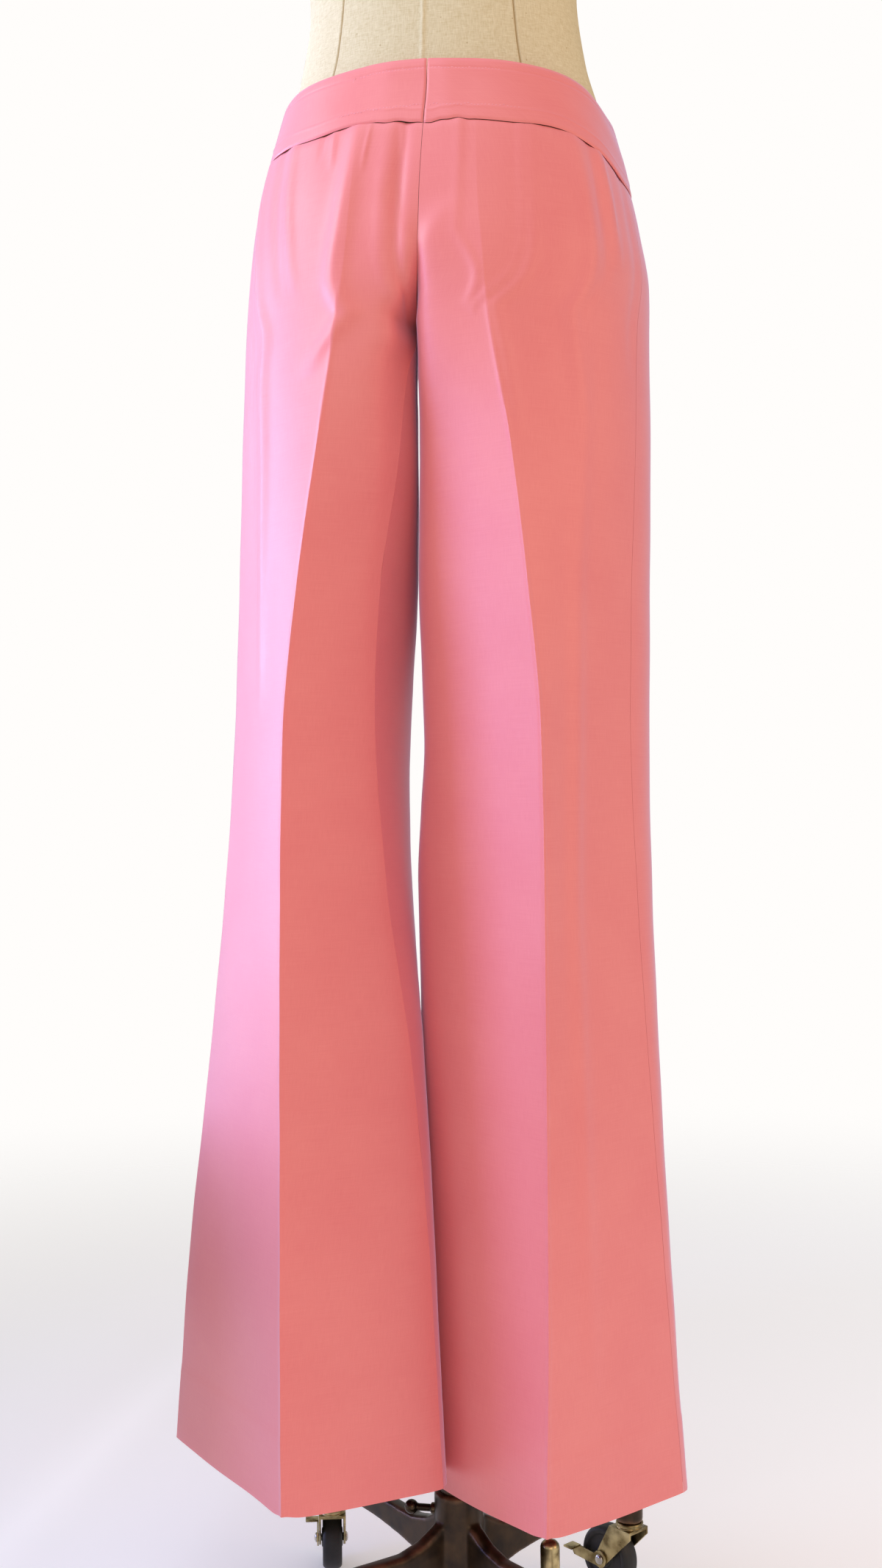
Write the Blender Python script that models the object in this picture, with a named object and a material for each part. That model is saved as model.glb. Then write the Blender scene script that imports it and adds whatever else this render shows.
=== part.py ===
"""Flared trousers with pressed creases, hung on a limbless dress form on a wheeled stand.

Metres, +Z up. The trousers' back faces -Y, and -X is the wearer's left. The origin is on the
floor under the middle of the whole object; the stand's pole stands AXIS_X to the right of it.
Every x and y below is measured from the pole's own axis, and moved by AXIS_X at the end.
"""

from math import atan2, cos, hypot, pi, radians, sin

import bmesh
import bpy
import numpy as np
from mathutils import Matrix, Vector

# ---------------------------------------------------------------- driving dimensions
AXIS_X = 0.020  # the pole's axis, from the middle of the object's box
GAP = 0.0003  # between pieces that meet

CLOTH = 0.0012  # one layer of the trousers' cloth
HEM_TURN_UP = 0.065  # depth of the hem's second layer, turned up inside
BAND_LIFT = 0.0009  # the waistband stands this proud of the panels that are sewn under it
OUTER_HUG = 0.72  # how close a section keeps to its corners; 0.55 is a rounder arc
INNER_HUG = {
    ("left", "back"): 1.10,
    ("left", "front"): 0.84,
    ("right", "back"): 1.10,
    ("right", "front"): 1.00,
}
HANDLE_MOST = 0.80  # the longest handle of a curve, as a share of the distance between its ends
TRIM = GAP / 2 / 0.11  # half a gap, as a share of the narrowest panel's width
PANEL_COLUMNS = 12  # across one panel, half of them on each side of its crease
BAND_COLUMNS = 40
BAND_ROWS = 3
CROTCH_Z = 1.080  # where the four inner seams meet
HEM_Z = {"left": 0.165, "right": 0.148}

# The waistband's edges: the way round from the centre back (0.25 is the left side), and the height.
BAND_TOP = (
    (0.00, 1.278), (0.10, 1.278), (0.17, 1.2745), (0.25, 1.268), (0.50, 1.262),
    (0.75, 1.257), (0.79, 1.267), (0.83, 1.2725), (0.88, 1.2765), (0.95, 1.277), (1.00, 1.278),
)
BAND_SEAM = (
    (0.00, 1.225), (0.06, 1.228), (0.11, 1.229), (0.17, 1.225), (0.25, 1.228), (0.50, 1.209),
    (0.75, 1.200), (0.79, 1.213), (0.82, 1.222), (0.87, 1.226), (0.93, 1.227), (1.00, 1.225),
)
BACK_SEAM_Z = 1.226

# Heights of a panel's rows: hip, fork of the legs, leg.
HIP_ROWS = 5
FORK_ROWS = 8
LEG_ROWS = 15
FORK_TOP_Z = 1.135

# One half of the garment, level by level. x runs outward from the pole, y from back to front.
# side: side seam. lean: degrees by which the cloth leans outward as it passes forward over it.
# crease: pressed crease of back and front. out, in: degrees by which the cloth turns away from
# straight across as it leaves the back crease outward and inward, then the front one.
COLUMNS = (
    "z", "side_x", "side_y", "lean", "crease_x", "back_y", "front_y",
    "back_out", "back_in", "front_out", "front_in",
)
HIPS = (
    (1.300, 0.1260, 0.000, 8, 0.044, -0.0885, 0.0900, 12, -12, 5, -5),
    (1.262, 0.1345, 0.000, 8, 0.045, -0.0935, 0.0945, 12, -12, 5, -5),
    (1.222, 0.1460, 0.000, 8, 0.046, -0.1020, 0.1010, 13, -10, 6, -5),
    (1.170, 0.1580, 0.000, 10, 0.049, -0.1120, 0.1065, 15, -6, 8, -3),
    (1.125, 0.1640, -0.002, 14, 0.053, -0.1170, 0.1095, 18, 0, 12, 2),
)
HIP_SHIFTS = (-0.003, -0.003, -0.004, -0.005, -0.005)  # the hips hang to the wearer's left
LEGS = {
    "left": (
        (1.080, 0.1720, -0.004, 18, 0.064, -0.1195, 0.1105, 23, 11, 18, 12),
        (0.980, 0.1755, -0.006, 22, 0.080, -0.1225, 0.1085, 34, 29, 26, 26),
        (0.870, 0.1790, -0.006, 24, 0.096, -0.1260, 0.1050, 44, 37, 34, 32),
        (0.760, 0.1840, -0.006, 26, 0.107, -0.1280, 0.1010, 50, 39, 38, 36),
        (0.640, 0.1935, -0.004, 29, 0.110, -0.1290, 0.0980, 52, 38, 42, 41),
        (0.480, 0.2120, 0.000, 33, 0.111, -0.1320, 0.0960, 51, 34, 44, 46),
        (0.320, 0.2320, 0.004, 37, 0.111, -0.1370, 0.0940, 50, 33, 44, 48),
        (0.160, 0.2455, 0.006, 40, 0.110, -0.1410, 0.0930, 48, 34, 44, 47),
    ),
    "right": (
        (1.080, 0.1560, -0.016, 20, 0.052, -0.1185, 0.1110, 23, 11, 18, 12),
        (0.980, 0.1545, -0.024, 26, 0.069, -0.1225, 0.1100, 36, 28, 28, 28),
        (0.870, 0.1505, -0.028, 30, 0.082, -0.1260, 0.1090, 46, 31, 34, 34),
        (0.760, 0.1490, -0.028, 32, 0.091, -0.1265, 0.1090, 52, 34, 40, 40),
        (0.640, 0.1525, -0.026, 33, 0.0925, -0.1260, 0.1120, 54, 37, 44, 44),
        (0.480, 0.1615, -0.020, 34, 0.0925, -0.1240, 0.1220, 53, 40, 48, 48),
        (0.320, 0.1715, -0.010, 35, 0.0915, -0.1180, 0.1370, 52, 42, 50, 50),
        (0.140, 0.1835, 0.004, 36, 0.0870, -0.1080, 0.1520, 50, 42, 50, 50),
    ),
}

# The centre seams down to the crotch: z, x, the y of the back and the front edge, and the degrees
# by which the back and the front turn away from straight across there.
FORK = (
    (1.300, 0.0030, -0.0940, 0.0945, 0, 0),
    (1.262, 0.0036, -0.0985, 0.0990, 0, 0),
    (1.222, 0.0015, -0.1055, 0.1055, 0, 0),
    (1.170, -0.0008, -0.1120, 0.1105, 4, 4),
    (1.135, -0.0022, -0.1120, 0.1110, 30, 12),
    (1.110, -0.0045, -0.1020, 0.1040, 66, 26),
    (1.096, -0.0082, -0.0860, 0.0850, 76, 46),
    (1.087, -0.0118, -0.0690, 0.0350, 79, 66),
)
# The inseams below the crotch: z, outward x, y, and the way the cloth runs there in degrees from
# straight across, where 90 is straight forward: of the back panel, then of the front panel.
INSEAMS = {
    "left": (
        (1.080, 0.0153, -0.055, 82, 92),
        (1.064, 0.0137, -0.066, 78, 84),
        (1.048, 0.0160, -0.078, 62, 76),
        (1.030, 0.0188, -0.081, 56, 72),
        (0.970, 0.0255, -0.081, 52, 72),
        (0.870, 0.0415, -0.080, 50, 74),
        (0.770, 0.0470, -0.077, 50, 75),
        (0.640, 0.0398, -0.072, 50, 75),
        (0.510, 0.0230, -0.067, 52, 76),
        (0.355, 0.0100, -0.065, 53, 78),
        (0.160, 0.0007, -0.063, 54, 84),
    ),
    "right": (
        (1.080, -0.0137, -0.055, 82, 84),
        (1.048, -0.0130, -0.058, 80, 80),
        (0.980, -0.0136, -0.055, 79, 79),
        (0.870, -0.0167, -0.047, 79, 80),
        (0.760, -0.0146, -0.042, 79, 76),
        (0.700, -0.0195, -0.033, 79, 80),
        (0.640, -0.0249, -0.022, 78, 88),
        (0.480, -0.0247, -0.012, 74, 98),
        (0.320, -0.0262, -0.001, 70, 102),
        (0.140, -0.0270, 0.004, 66, 108),
    ),
}

# The left leg's inner side is pressed flat in front of its inseam. Its near edge stays behind one
# line of sight: z, that line's x 80 mm behind the pole, and the flat's turn away from it, in metres
# outward for each metre forward.
PRESSED = (
    (1.080, -0.0100, 0.20),
    (1.055, -0.0108, 0.20),
    (0.987, -0.0103, 0.20),
    (0.895, -0.0112, 0.20),
    (0.850, -0.0118, 0.24),
    (0.804, -0.0131, 0.33),
    (0.770, -0.0148, 0.33),
    (0.712, -0.0164, 0.36),
    (0.667, -0.0158, 0.40),
    (0.640, -0.0144, 0.40),
    (0.598, -0.0122, 0.44),
    (0.506, -0.0060, 0.54),
    (0.415, -0.0006, 0.55),
    (0.324, 0.0057, 0.50),
    (0.160, 0.0130, 0.50),
)
SIGHT_SLOPE = 0.2  # of the line of sight, in metres to the left for each metre forward
SIGHT_Y = -0.080
PRESSED_ROUND = 0.0015

# Soft folds: u runs from 0 at the side seam through 0.5 at the crease to 1 at the centre seam
# or inseam. depth is outward, width is in u.
FOLDS = (
    # leg, panel, u high, u low, z high, z low, depth, width
    ("right", "back", 0.26, 0.22, 1.215, 0.300, 0.0022, 0.055),
    ("left", "back", 0.10, 0.08, 1.215, 0.800, 0.0022, 0.045),
    ("left", "back", 0.44, 0.47, 1.215, 1.000, 0.0025, 0.060),
    ("right", "front", 0.24, 0.20, 1.190, 0.400, 0.0020, 0.060),
    ("left", "front", 0.20, 0.16, 1.190, 0.500, 0.0020, 0.060),
)

# The dress form, level by level: half width, depth behind and in front of its middle.
FORM_POWER = 2.05  # 2 is an ellipse; more squares its corners
FORM_SEGMENTS = 40
FORM_COLUMNS = ("z", "middle_x", "half_width", "back", "front")
FORM = (
    (1.1020, -0.006, 0.1120, 0.0560, 0.0600),
    (1.1045, -0.006, 0.1360, 0.0740, 0.0780),
    (1.1120, -0.006, 0.1480, 0.0860, 0.0890),
    (1.1260, -0.006, 0.1530, 0.0950, 0.0960),
    (1.1500, -0.006, 0.1530, 0.1010, 0.0995),
    (1.1800, -0.005, 0.1500, 0.1020, 0.0990),
    (1.2200, -0.005, 0.1412, 0.0970, 0.0960),
    (1.2600, -0.0035, 0.1299, 0.0900, 0.0905),
    (1.3000, -0.0025, 0.1175, 0.0835, 0.0855),
    (1.3550, -0.002, 0.1100, 0.0810, 0.0850),
    (1.4000, -0.002, 0.1125, 0.0850, 0.0870),
    (1.4500, -0.003, 0.1220, 0.0910, 0.0970),
    (1.5000, -0.003, 0.1330, 0.0960, 0.1140),
    (1.5450, -0.003, 0.1420, 0.0990, 0.1250),
    (1.5900, -0.003, 0.1480, 0.1010, 0.1190),
    (1.6300, -0.003, 0.1560, 0.1010, 0.0990),
    (1.6600, -0.003, 0.1630, 0.0960, 0.0800),
    (1.6850, -0.003, 0.1620, 0.0860, 0.0650),
    (1.7050, -0.003, 0.1400, 0.0740, 0.0550),
    (1.7200, -0.003, 0.1060, 0.0640, 0.0500),
    (1.7330, -0.003, 0.0760, 0.0570, 0.0480),
    (1.7480, -0.003, 0.0600, 0.0530, 0.0480),
    (1.7700, -0.003, 0.0540, 0.0500, 0.0480),
    (1.7980, -0.003, 0.0525, 0.0490, 0.0480),
)

# The stand.
ROD_R = 0.0100  # inner rod, which carries the form and slides in the tube
TUBE_R = 0.0160
TUBE_TOP_Z = 0.400
ROD_BOTTOM_Z = 0.160
SLIDE_FIT = 0.0003
HUB_R = 0.0196
HUB_BOTTOM_Z = 0.050
HUB_TOP_Z = 0.141
FOOT_REACH = 0.190  # from the pole to a caster's swivel
FOOT_TURNS = (48, 138, 228, 318)  # degrees round from +X
LEG_THICK = 0.0140
LEG_BEVEL = 0.0035
SOCKET_R = 0.0120
SOCKET_BOTTOM_Z = 0.0660
SOCKET_TOP_Z = 0.1030

# A leg's outline, from the pole outward: distance, z.
LEG_OVER = ((0.0205, 0.1200), (0.0340, 0.1090), (0.0600, 0.1020), (0.1100, 0.1030), (0.1900, 0.0980))
LEG_UNDER = ((0.1900, 0.0790), (0.1300, 0.0830), (0.0800, 0.0780), (0.0450, 0.0700), (0.0205, 0.0560))

WHEEL_R = 0.0275
WHEEL_WIDTH = 0.0180
WHEEL_SIDES = 24
TRAIL = 0.0240  # from the swivel back to the axle
TRAIL_TURNS = (143, 105, 195, 345)  # degrees round from +X, one for each caster
AXLE_R = 0.0030
RUNNING_FIT = 0.0003
CHEEK_THICK = 0.0020
CHEEK_IN = 0.0102  # from the wheel's middle to a cheek's inner face
RACE_R = 0.0120
CROWN_BOTTOM_Z = 0.0577
CROWN_TOP_Z = 0.0605
STEM_R = 0.0045
RIVET_R = 0.0048
RIVET_HIGH = 0.0022
LEVER_THICK = 0.0014
LEVER_REACH = 0.0330
LEVER_TAB = 0.0120

SCREW_Z = 0.1235
SCREW_R = 0.0030
SCREW_BALL_R = 0.0058
SCREW_BALL_OUT = 0.0400

PEDAL_TURN = 3  # degrees round from +X, midway between two legs
PEDAL_OUT = 0.0745
PEDAL_POST_R = 0.0080
PEDAL_TOP_Z = 0.1030
PEDAL_ARM_Z = (0.0510, 0.0590)

ROUND = 32  # sides of a turned piece
SMALL_ROUND = 16

# ---------------------------------------------------------------- finishes
FINISHES = {
    # name: (colour, roughness, metallic)
    "pink cloth": ((0.84, 0.26, 0.30), 0.55, 0.0),
    "cream linen": ((0.75, 0.67, 0.48), 0.85, 0.0),
    "bronze paint": ((0.07, 0.045, 0.03), 0.40, 0.6),
    "bright steel": ((0.55, 0.54, 0.52), 0.30, 1.0),
    "aged brass": ((0.30, 0.22, 0.12), 0.38, 0.9),
    "black rubber": ((0.02, 0.02, 0.02), 0.70, 0.0),
}


def finish(name):
    """The named finish as a material, made once."""
    material = bpy.data.materials.get(name)
    if material is None:
        colour, roughness, metallic = FINISHES[name]
        material = bpy.data.materials.new(name)
        material.use_nodes = True
        shader = material.node_tree.nodes["Principled BSDF"]
        shader.inputs["Base Color"].default_value = (*colour, 1)
        shader.inputs["Roughness"].default_value = roughness
        shader.inputs["Metallic"].default_value = metallic
    return material


# ---------------------------------------------------------------- helpers
def clear_scene():
    for old in list(bpy.data.objects):
        bpy.data.objects.remove(old, do_unlink=True)


def keep(bm, name, finish_name, smooth_under=None):
    """A bmesh as a named object, shaded smooth across edges flatter than smooth_under degrees."""
    bmesh.ops.recalc_face_normals(bm, faces=bm.faces)
    if bm.calc_volume(signed=True) < 0:
        bmesh.ops.reverse_faces(bm, faces=bm.faces)
    mesh = bpy.data.meshes.new(name)
    bm.to_mesh(mesh)
    bm.free()
    if smooth_under is not None:
        mesh.shade_smooth()
        mesh.set_sharp_from_angle(angle=radians(smooth_under))
    mesh.materials.append(finish(finish_name))
    piece = bpy.data.objects.new(name, mesh)
    bpy.context.scene.collection.objects.link(piece)
    return piece


def eased(rows, at):
    """The rows' values at the given heights, on curves that never overshoot a row. Returns an array
    with a row per height and a column per value."""
    table = np.array(sorted(rows), float)
    z, values = table[:, 0], table[:, 1:]
    at = np.clip(np.atleast_1d(np.asarray(at, float)), z[0], z[-1])
    step = np.diff(z)[:, None]
    slope = np.diff(values, axis=0) / step
    tangent = np.zeros_like(values)
    tangent[0], tangent[-1] = slope[0], slope[-1]
    before, after = slope[:-1], slope[1:]
    both = before + after
    same = before * after > 0
    tangent[1:-1] = np.where(same, 2 * before * after / np.where(same, both, 1), 0)
    i = np.clip(np.searchsorted(z, at, side="right") - 1, 0, len(z) - 2)
    h = step[i]
    t = ((at - z[i]) / h[:, 0])[:, None]
    return (
        (1 + 2 * t) * (1 - t) ** 2 * values[i]
        + t * (1 - t) ** 2 * h * tangent[i]
        + t**2 * (3 - 2 * t) * values[i + 1]
        + t**2 * (t - 1) * h * tangent[i + 1]
    )


def bent(start, start_way, end, end_way, share, hug):
    """The point at a share of the way along the curve that leaves start and reaches end in the
    given directions, measured along the curve. It keeps close to the corner that they make."""
    chord = end - start
    length = hypot(*chord)
    turn = start_way[0] * end_way[1] - start_way[1] * end_way[0]
    turn = turn if abs(turn) > 1e-6 else 1e-6
    to_corner = [
        (chord[0] * end_way[1] - chord[1] * end_way[0]) / turn,
        (chord[0] * start_way[1] - chord[1] * start_way[0]) / turn,
    ]
    near, far = (min(max(hug * d, 0.12 * length), HANDLE_MOST * length) for d in to_corner)
    t = np.linspace(0, 1, 49)[:, None]
    line = (
        (1 - t) ** 3 * start
        + 3 * t * (1 - t) ** 2 * (start + near * start_way)
        + 3 * t**2 * (1 - t) * (end + far * end_way)
        + t**3 * end
    )
    along = np.concatenate([[0], np.cumsum(np.hypot(*np.diff(line, axis=0).T))])
    wanted = share * along[-1]
    return np.array([np.interp(wanted, along, line[:, 0]), np.interp(wanted, along, line[:, 1])])


def way(degrees, outward, forward):
    """A direction in the plan: degrees away from straight across."""
    return np.array([outward * cos(radians(degrees)), forward * sin(radians(degrees))])


# ---------------------------------------------------------------- the trousers' surface
def half_rows(leg):
    """HIPS and the leg's rows as one table of outward x."""
    sign = -1 if leg == "left" else 1
    hips = []
    for (z, side_x, side_y, lean, crease_x, *rest), shift in zip(HIPS, HIP_SHIFTS):
        hips.append((z, side_x + sign * shift, side_y, lean, crease_x + sign * shift, *rest))
    return (*LEGS[leg], *hips)


def inseam_rows(leg, panel):
    """One panel's edge below the crotch: z, outward x, y, degrees."""
    return [(*row[:3], row[3] if panel == "back" else 180 - row[4]) for row in INSEAMS[leg]]


def centre_rows(leg, panel):
    """One panel's edge from the crotch up, along the centre seam."""
    sign = -1 if leg == "left" else 1
    at = 0 if panel == "back" else 1
    fork = [(row[0], sign * row[1] + GAP / 2, row[2 + at], row[4 + at]) for row in FORK]
    return [inseam_rows(leg, panel)[0], *fork]


TABLES = {leg: half_rows(leg) for leg in LEGS}
PANELS = [(leg, panel) for leg in LEGS for panel in ("back", "front")]
INSEAM_EDGES = {names: inseam_rows(*names) for names in PANELS}
CENTRE_EDGES = {names: centre_rows(*names) for names in PANELS}


def pressed_flat(point, edge, over, u, z):
    """A point of the left front panel, moved out of the way of the flat inner side."""
    sight, slope = eased(PRESSED, z)[0]
    over = radians(180 - over)
    gone = edge[0] + sight - SIGHT_SLOPE * (edge[1] - SIGHT_Y)
    gone /= cos(over) + SIGHT_SLOPE * sin(over)
    corner = np.array(edge) + gone * np.array([-cos(over), sin(over)])
    nearest = corner[0] + slope * (point[1] - corner[1])
    flat = nearest + PRESSED_ROUND * np.logaddexp(0, (point[0] - nearest) / PRESSED_ROUND)
    share = min((1 - u) / 0.05, 1)
    return np.array([point[0] + (flat - point[0]) * share, point[1]])


def section_point(leg, panel, u, z):
    """The cloth's outer surface, without its folds: outward x and y at u and height z."""
    side_x, side_y, lean, crease_x, back_y, front_y, *turns = eased(TABLES[leg], z)[0]
    edges = INSEAM_EDGES if z < CROTCH_Z else CENTRE_EDGES
    *edge, over = eased(edges[leg, panel], z)[0]
    side = np.array([side_x, side_y])
    forward = 1 if panel == "back" else -1  # from this panel's crease to the middle of the leg
    crease = np.array([crease_x, back_y if panel == "back" else front_y])
    out, inward = turns[:2] if panel == "back" else turns[2:]
    if u <= 0.5:
        start_way = way(90 + forward * lean, 1, -forward)
        return bent(side, start_way, crease, way(out, 1, forward), 2 * u, OUTER_HUG)
    end_way = way(over, 1, -forward)
    hug = INNER_HUG[leg, panel]
    point = bent(crease, way(inward, -1, forward), np.array(edge), end_way, 2 * u - 1, hug)
    if (leg, panel) == ("left", "front") and z < CROTCH_Z:
        point = pressed_flat(point, edge, over, u, z)
    return point


def fold_depth(leg, panel, u, z):
    depth = 0.0
    for fold_leg, fold_panel, u_high, u_low, high, low, deep, width in FOLDS:
        if (leg, panel) != (fold_leg, fold_panel) or not low < z < high:
            continue
        down = (high - z) / (high - low)
        middle = u_high + (u_low - u_high) * down
        depth += deep * np.exp(-(((u - middle) / width) ** 2)) * sin(pi * down) ** 0.5
    return depth


def surface(leg, panel, u, z, outward=0.0):
    """A point of the cloth, pushed out along the plan's normal by its folds and by outward."""
    step = 0.004
    here = section_point(leg, panel, u, z)
    low, high = max(u - step, 0), min(u + step, 1)
    along = section_point(leg, panel, high, z) - section_point(leg, panel, low, z)
    turn = -1 if panel == "back" else 1
    normal = turn * np.array([-along[1], along[0]]) / hypot(*along)
    here = here + normal * (outward + fold_depth(leg, panel, u, z))
    return np.array([here[0] * (-1 if leg == "left" else 1), here[1], z])


def normal_at(leg, panel, u, z):
    """The way out of the cloth, from two short steps on its surface, kept off the seams."""
    step_u, step_z = 0.01, 0.004
    u0 = min(max(u, step_u), 1 - step_u)
    across = surface(leg, panel, u0 + step_u, z) - surface(leg, panel, u0 - step_u, z)
    down = surface(leg, panel, u0, z - step_z) - surface(leg, panel, u0, z + step_z)
    normal = np.cross(across, down)
    normal /= np.linalg.norm(normal)
    return -normal if (panel == "back") == (leg == "left") else normal


def seam_normal(leg, panel, u, z):
    """normal_at, but along a seam the mean of the two panels that meet there, so they share it."""
    normal = normal_at(leg, panel, u, z)
    if 0 < u < 1:
        return normal
    if u == 1 and z > CROTCH_Z:
        leg = "right" if leg == "left" else "left"
    else:
        panel = "front" if panel == "back" else "back"
    normal = normal + normal_at(leg, panel, u, z)
    return normal / np.linalg.norm(normal)


def turn_of(leg, panel, u):
    """Where a panel's u lies on the way round the body."""
    quarter = 0.25 * (1 - u)
    turn = quarter if panel == "back" else 0.5 - quarter
    return turn if leg == "left" else 1 - turn


def panel_heights(leg):
    hip = np.linspace(BACK_SEAM_Z, FORK_TOP_Z, HIP_ROWS + 1)
    fork = np.linspace(0, 1, FORK_ROWS + 1) ** 0.75
    fork = FORK_TOP_Z + (CROTCH_Z - 0.003 - FORK_TOP_Z) * fork
    leg_z = np.linspace(fork[-1], HEM_Z[leg], LEG_ROWS + 1)
    return np.concatenate([hip, fork[1:], leg_z[1:]])


def cloth_slab(columns, rows, place):
    """A flat slab cut as a grid, then bent: place(across, down, inside) gives each point, with
    across and down from 0 to 1 and inside 1 on the cloth's inner face."""
    bm = bmesh.new()
    bmesh.ops.create_grid(bm, x_segments=columns, y_segments=rows, size=0.5)
    inner = bmesh.ops.extrude_face_region(bm, geom=bm.faces[:], use_keep_orig=True)["geom"]
    moved = [v for v in inner if isinstance(v, bmesh.types.BMVert)]
    bmesh.ops.translate(bm, vec=(0, 0, -1), verts=moved)
    for v in bm.verts:
        v.co = Vector(place(v.co.x + 0.5, 0.5 - v.co.y, v.co.z < -0.5))
    return bm


def make_panel(leg, panel):
    heights = panel_heights(leg)
    rows = len(heights) - 1

    def place(across, down, inside):
        row = round(down * rows)
        z = heights[row]
        u = across
        # The top rows follow the waistband's seam, a gap below it, and level off by the fork.
        seam = eased(BAND_SEAM, turn_of(leg, panel, u))[0, 0] - GAP
        share = max(0.0, (z - FORK_TOP_Z) / (BACK_SEAM_Z - FORK_TOP_Z))
        z += (seam - BACK_SEAM_Z) * share
        point = surface(leg, panel, min(max(u, TRIM), 1 - TRIM if z < CROTCH_Z else 1), z)
        if inside:
            layers = 2 if z < HEM_Z[leg] + HEM_TURN_UP else 1
            point = point - layers * CLOTH * seam_normal(leg, panel, u, z)
        return point

    return keep(cloth_slab(PANEL_COLUMNS, rows, place), f"{panel}_panel_{leg}", "pink cloth", 60)


def make_waistband():
    """One curved band, from the slit at the centre back round to the slit again."""

    def place(across, down, inside):
        turn = GAP / 2 / 0.8 + across * (1 - GAP / 0.8)
        quarter = min(int(turn * 4), 3)
        leg = "left" if quarter < 2 else "right"
        panel = "back" if quarter in (0, 3) else "front"
        part = turn * 4 - quarter
        u = 1 - part if quarter in (0, 2) else part
        top = eased(BAND_TOP, turn)[0, 0]
        bottom = eased(BAND_SEAM, turn)[0, 0]
        z = top + (bottom - top) * down
        normal = normal_at(leg, panel, u, z)
        return surface(leg, panel, u, z, BAND_LIFT) - (CLOTH * normal if inside else 0)

    return keep(cloth_slab(BAND_COLUMNS, BAND_ROWS, place), "waistband", "pink cloth", 60)


# ---------------------------------------------------------------- the dress form
def form_ring(z):
    """The form's outline at one height."""
    middle_x, half_width, back, front = eased(FORM, z)[0]
    points = []
    for i in range(FORM_SEGMENTS):
        angle = 2 * pi * i / FORM_SEGMENTS
        c, s = cos(angle), sin(angle)
        depth = front if s > 0 else back
        x = middle_x + half_width * abs(c) ** (2 / FORM_POWER) * (1 if c > 0 else -1)
        y = depth * abs(s) ** (2 / FORM_POWER) * (1 if s > 0 else -1)
        points.append((x, y, z))
    return points


def make_form():
    """Rings lofted from the flat underside to the flat top of the neck."""
    bm = bmesh.new()
    below = None
    for z, *_ in FORM:
        ring = [bm.verts.new(p) for p in form_ring(z)]
        edges = [bm.edges.new((ring[i - 1], ring[i])) for i in range(len(ring))]
        if below is None:
            bm.faces.new(ring)
        else:
            bmesh.ops.bridge_loops(bm, edges=below + edges)
        below, last = edges, ring
    bm.faces.new(last)
    return keep(bm, "dress_form", "cream linen", 50)


# ---------------------------------------------------------------- turned and flat metal
def turned(profile, sides=ROUND):
    """A solid of revolution about Z from (radius, z) points, in order round the outline."""
    bm = bmesh.new()
    verts = [bm.verts.new((r, 0, z)) for r, z in profile]
    edges = [bm.edges.new((verts[i], verts[i + 1])) for i in range(len(verts) - 1)]
    if profile[0][0] > 0:
        edges.append(bm.edges.new((verts[-1], verts[0])))
    bmesh.ops.spin(
        bm, geom=verts + edges, cent=(0, 0, 0), axis=(0, 0, 1), angle=2 * pi, steps=sides, use_merge=True
    )
    bmesh.ops.remove_doubles(bm, verts=bm.verts, dist=1e-6)
    return bm


def domed(radius, low, high, rise, steps=4):
    """The profile of a pin from its flat end at low to a domed end at high."""
    arc = [
        (radius * cos(radians(90 * i / steps)), high - rise + rise * sin(radians(90 * i / steps)))
        for i in range(steps)
    ]
    return [(0, low), (radius, low), *arc, (0, high)]


def plate(outline, thick, bevel=0.0, segments=1):
    """A flat outline in x and z, thick along y and centred on it, its rims bevelled."""
    bm = bmesh.new()
    face = bm.faces.new([bm.verts.new((x, -thick / 2, z)) for x, z in outline])
    grown = bmesh.ops.extrude_face_region(bm, geom=[face], use_keep_orig=True)["geom"]
    bmesh.ops.translate(bm, vec=(0, thick, 0), verts=[v for v in grown if isinstance(v, bmesh.types.BMVert)])
    if bevel:
        rims = [e for e in bm.edges if abs(e.verts[0].co.y - e.verts[1].co.y) < 1e-9]
        bmesh.ops.bevel(
            bm, geom=rims, offset=bevel, segments=segments, profile=0.5, affect="EDGES", material=-1
        )
    return bm


def merged(target, others, operation="UNION"):
    """Joins bmeshes to one, or cuts them from it, with an exact Boolean."""
    base = keep(target, "merge_target", "bronze paint")
    tools = [keep(bm, "merge_tool", "bronze paint") for bm in others]
    for tool in tools:
        cut = base.modifiers.new("merge", "BOOLEAN")
        cut.operation = operation
        cut.object = tool
    bpy.context.view_layer.update()
    graph = bpy.context.evaluated_depsgraph_get()
    result = bmesh.new()
    result.from_object(base, graph)
    for done in [base, *tools]:
        mesh = done.data
        bpy.data.objects.remove(done, do_unlink=True)
        bpy.data.meshes.remove(mesh)
    return result


def moved(bm, matrix):
    bmesh.ops.transform(bm, matrix=matrix, verts=bm.verts)
    return bm


def round_z(degrees):
    return Matrix.Rotation(radians(degrees), 4, "Z")


def radial(distance, degrees, z=0.0):
    return Vector((distance * cos(radians(degrees)), distance * sin(radians(degrees)), z))


def smooth_outline(points, steps):
    """Points read from the curve that never overshoots through an outline's side, by distance."""
    first, last = points[0][0], points[-1][0]
    at = np.linspace(first, last, steps)
    return [(float(x), float(eased(points, x)[0][0])) for x in at]


# ---------------------------------------------------------------- the stand
def make_hub():
    bore = TUBE_R + GAP
    profile = (
        (0, HUB_BOTTOM_Z),
        (HUB_R - 0.002, HUB_BOTTOM_Z),
        (HUB_R, HUB_BOTTOM_Z + 0.002),
        (HUB_R, HUB_TOP_Z - 0.0015),
        (HUB_R - 0.0015, HUB_TOP_Z),
        (bore, HUB_TOP_Z),
        (bore, HUB_BOTTOM_Z + 0.012),
        (0, HUB_BOTTOM_Z + 0.012),
    )
    return keep(turned(profile), "hub", "bronze paint", 35)


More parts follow.
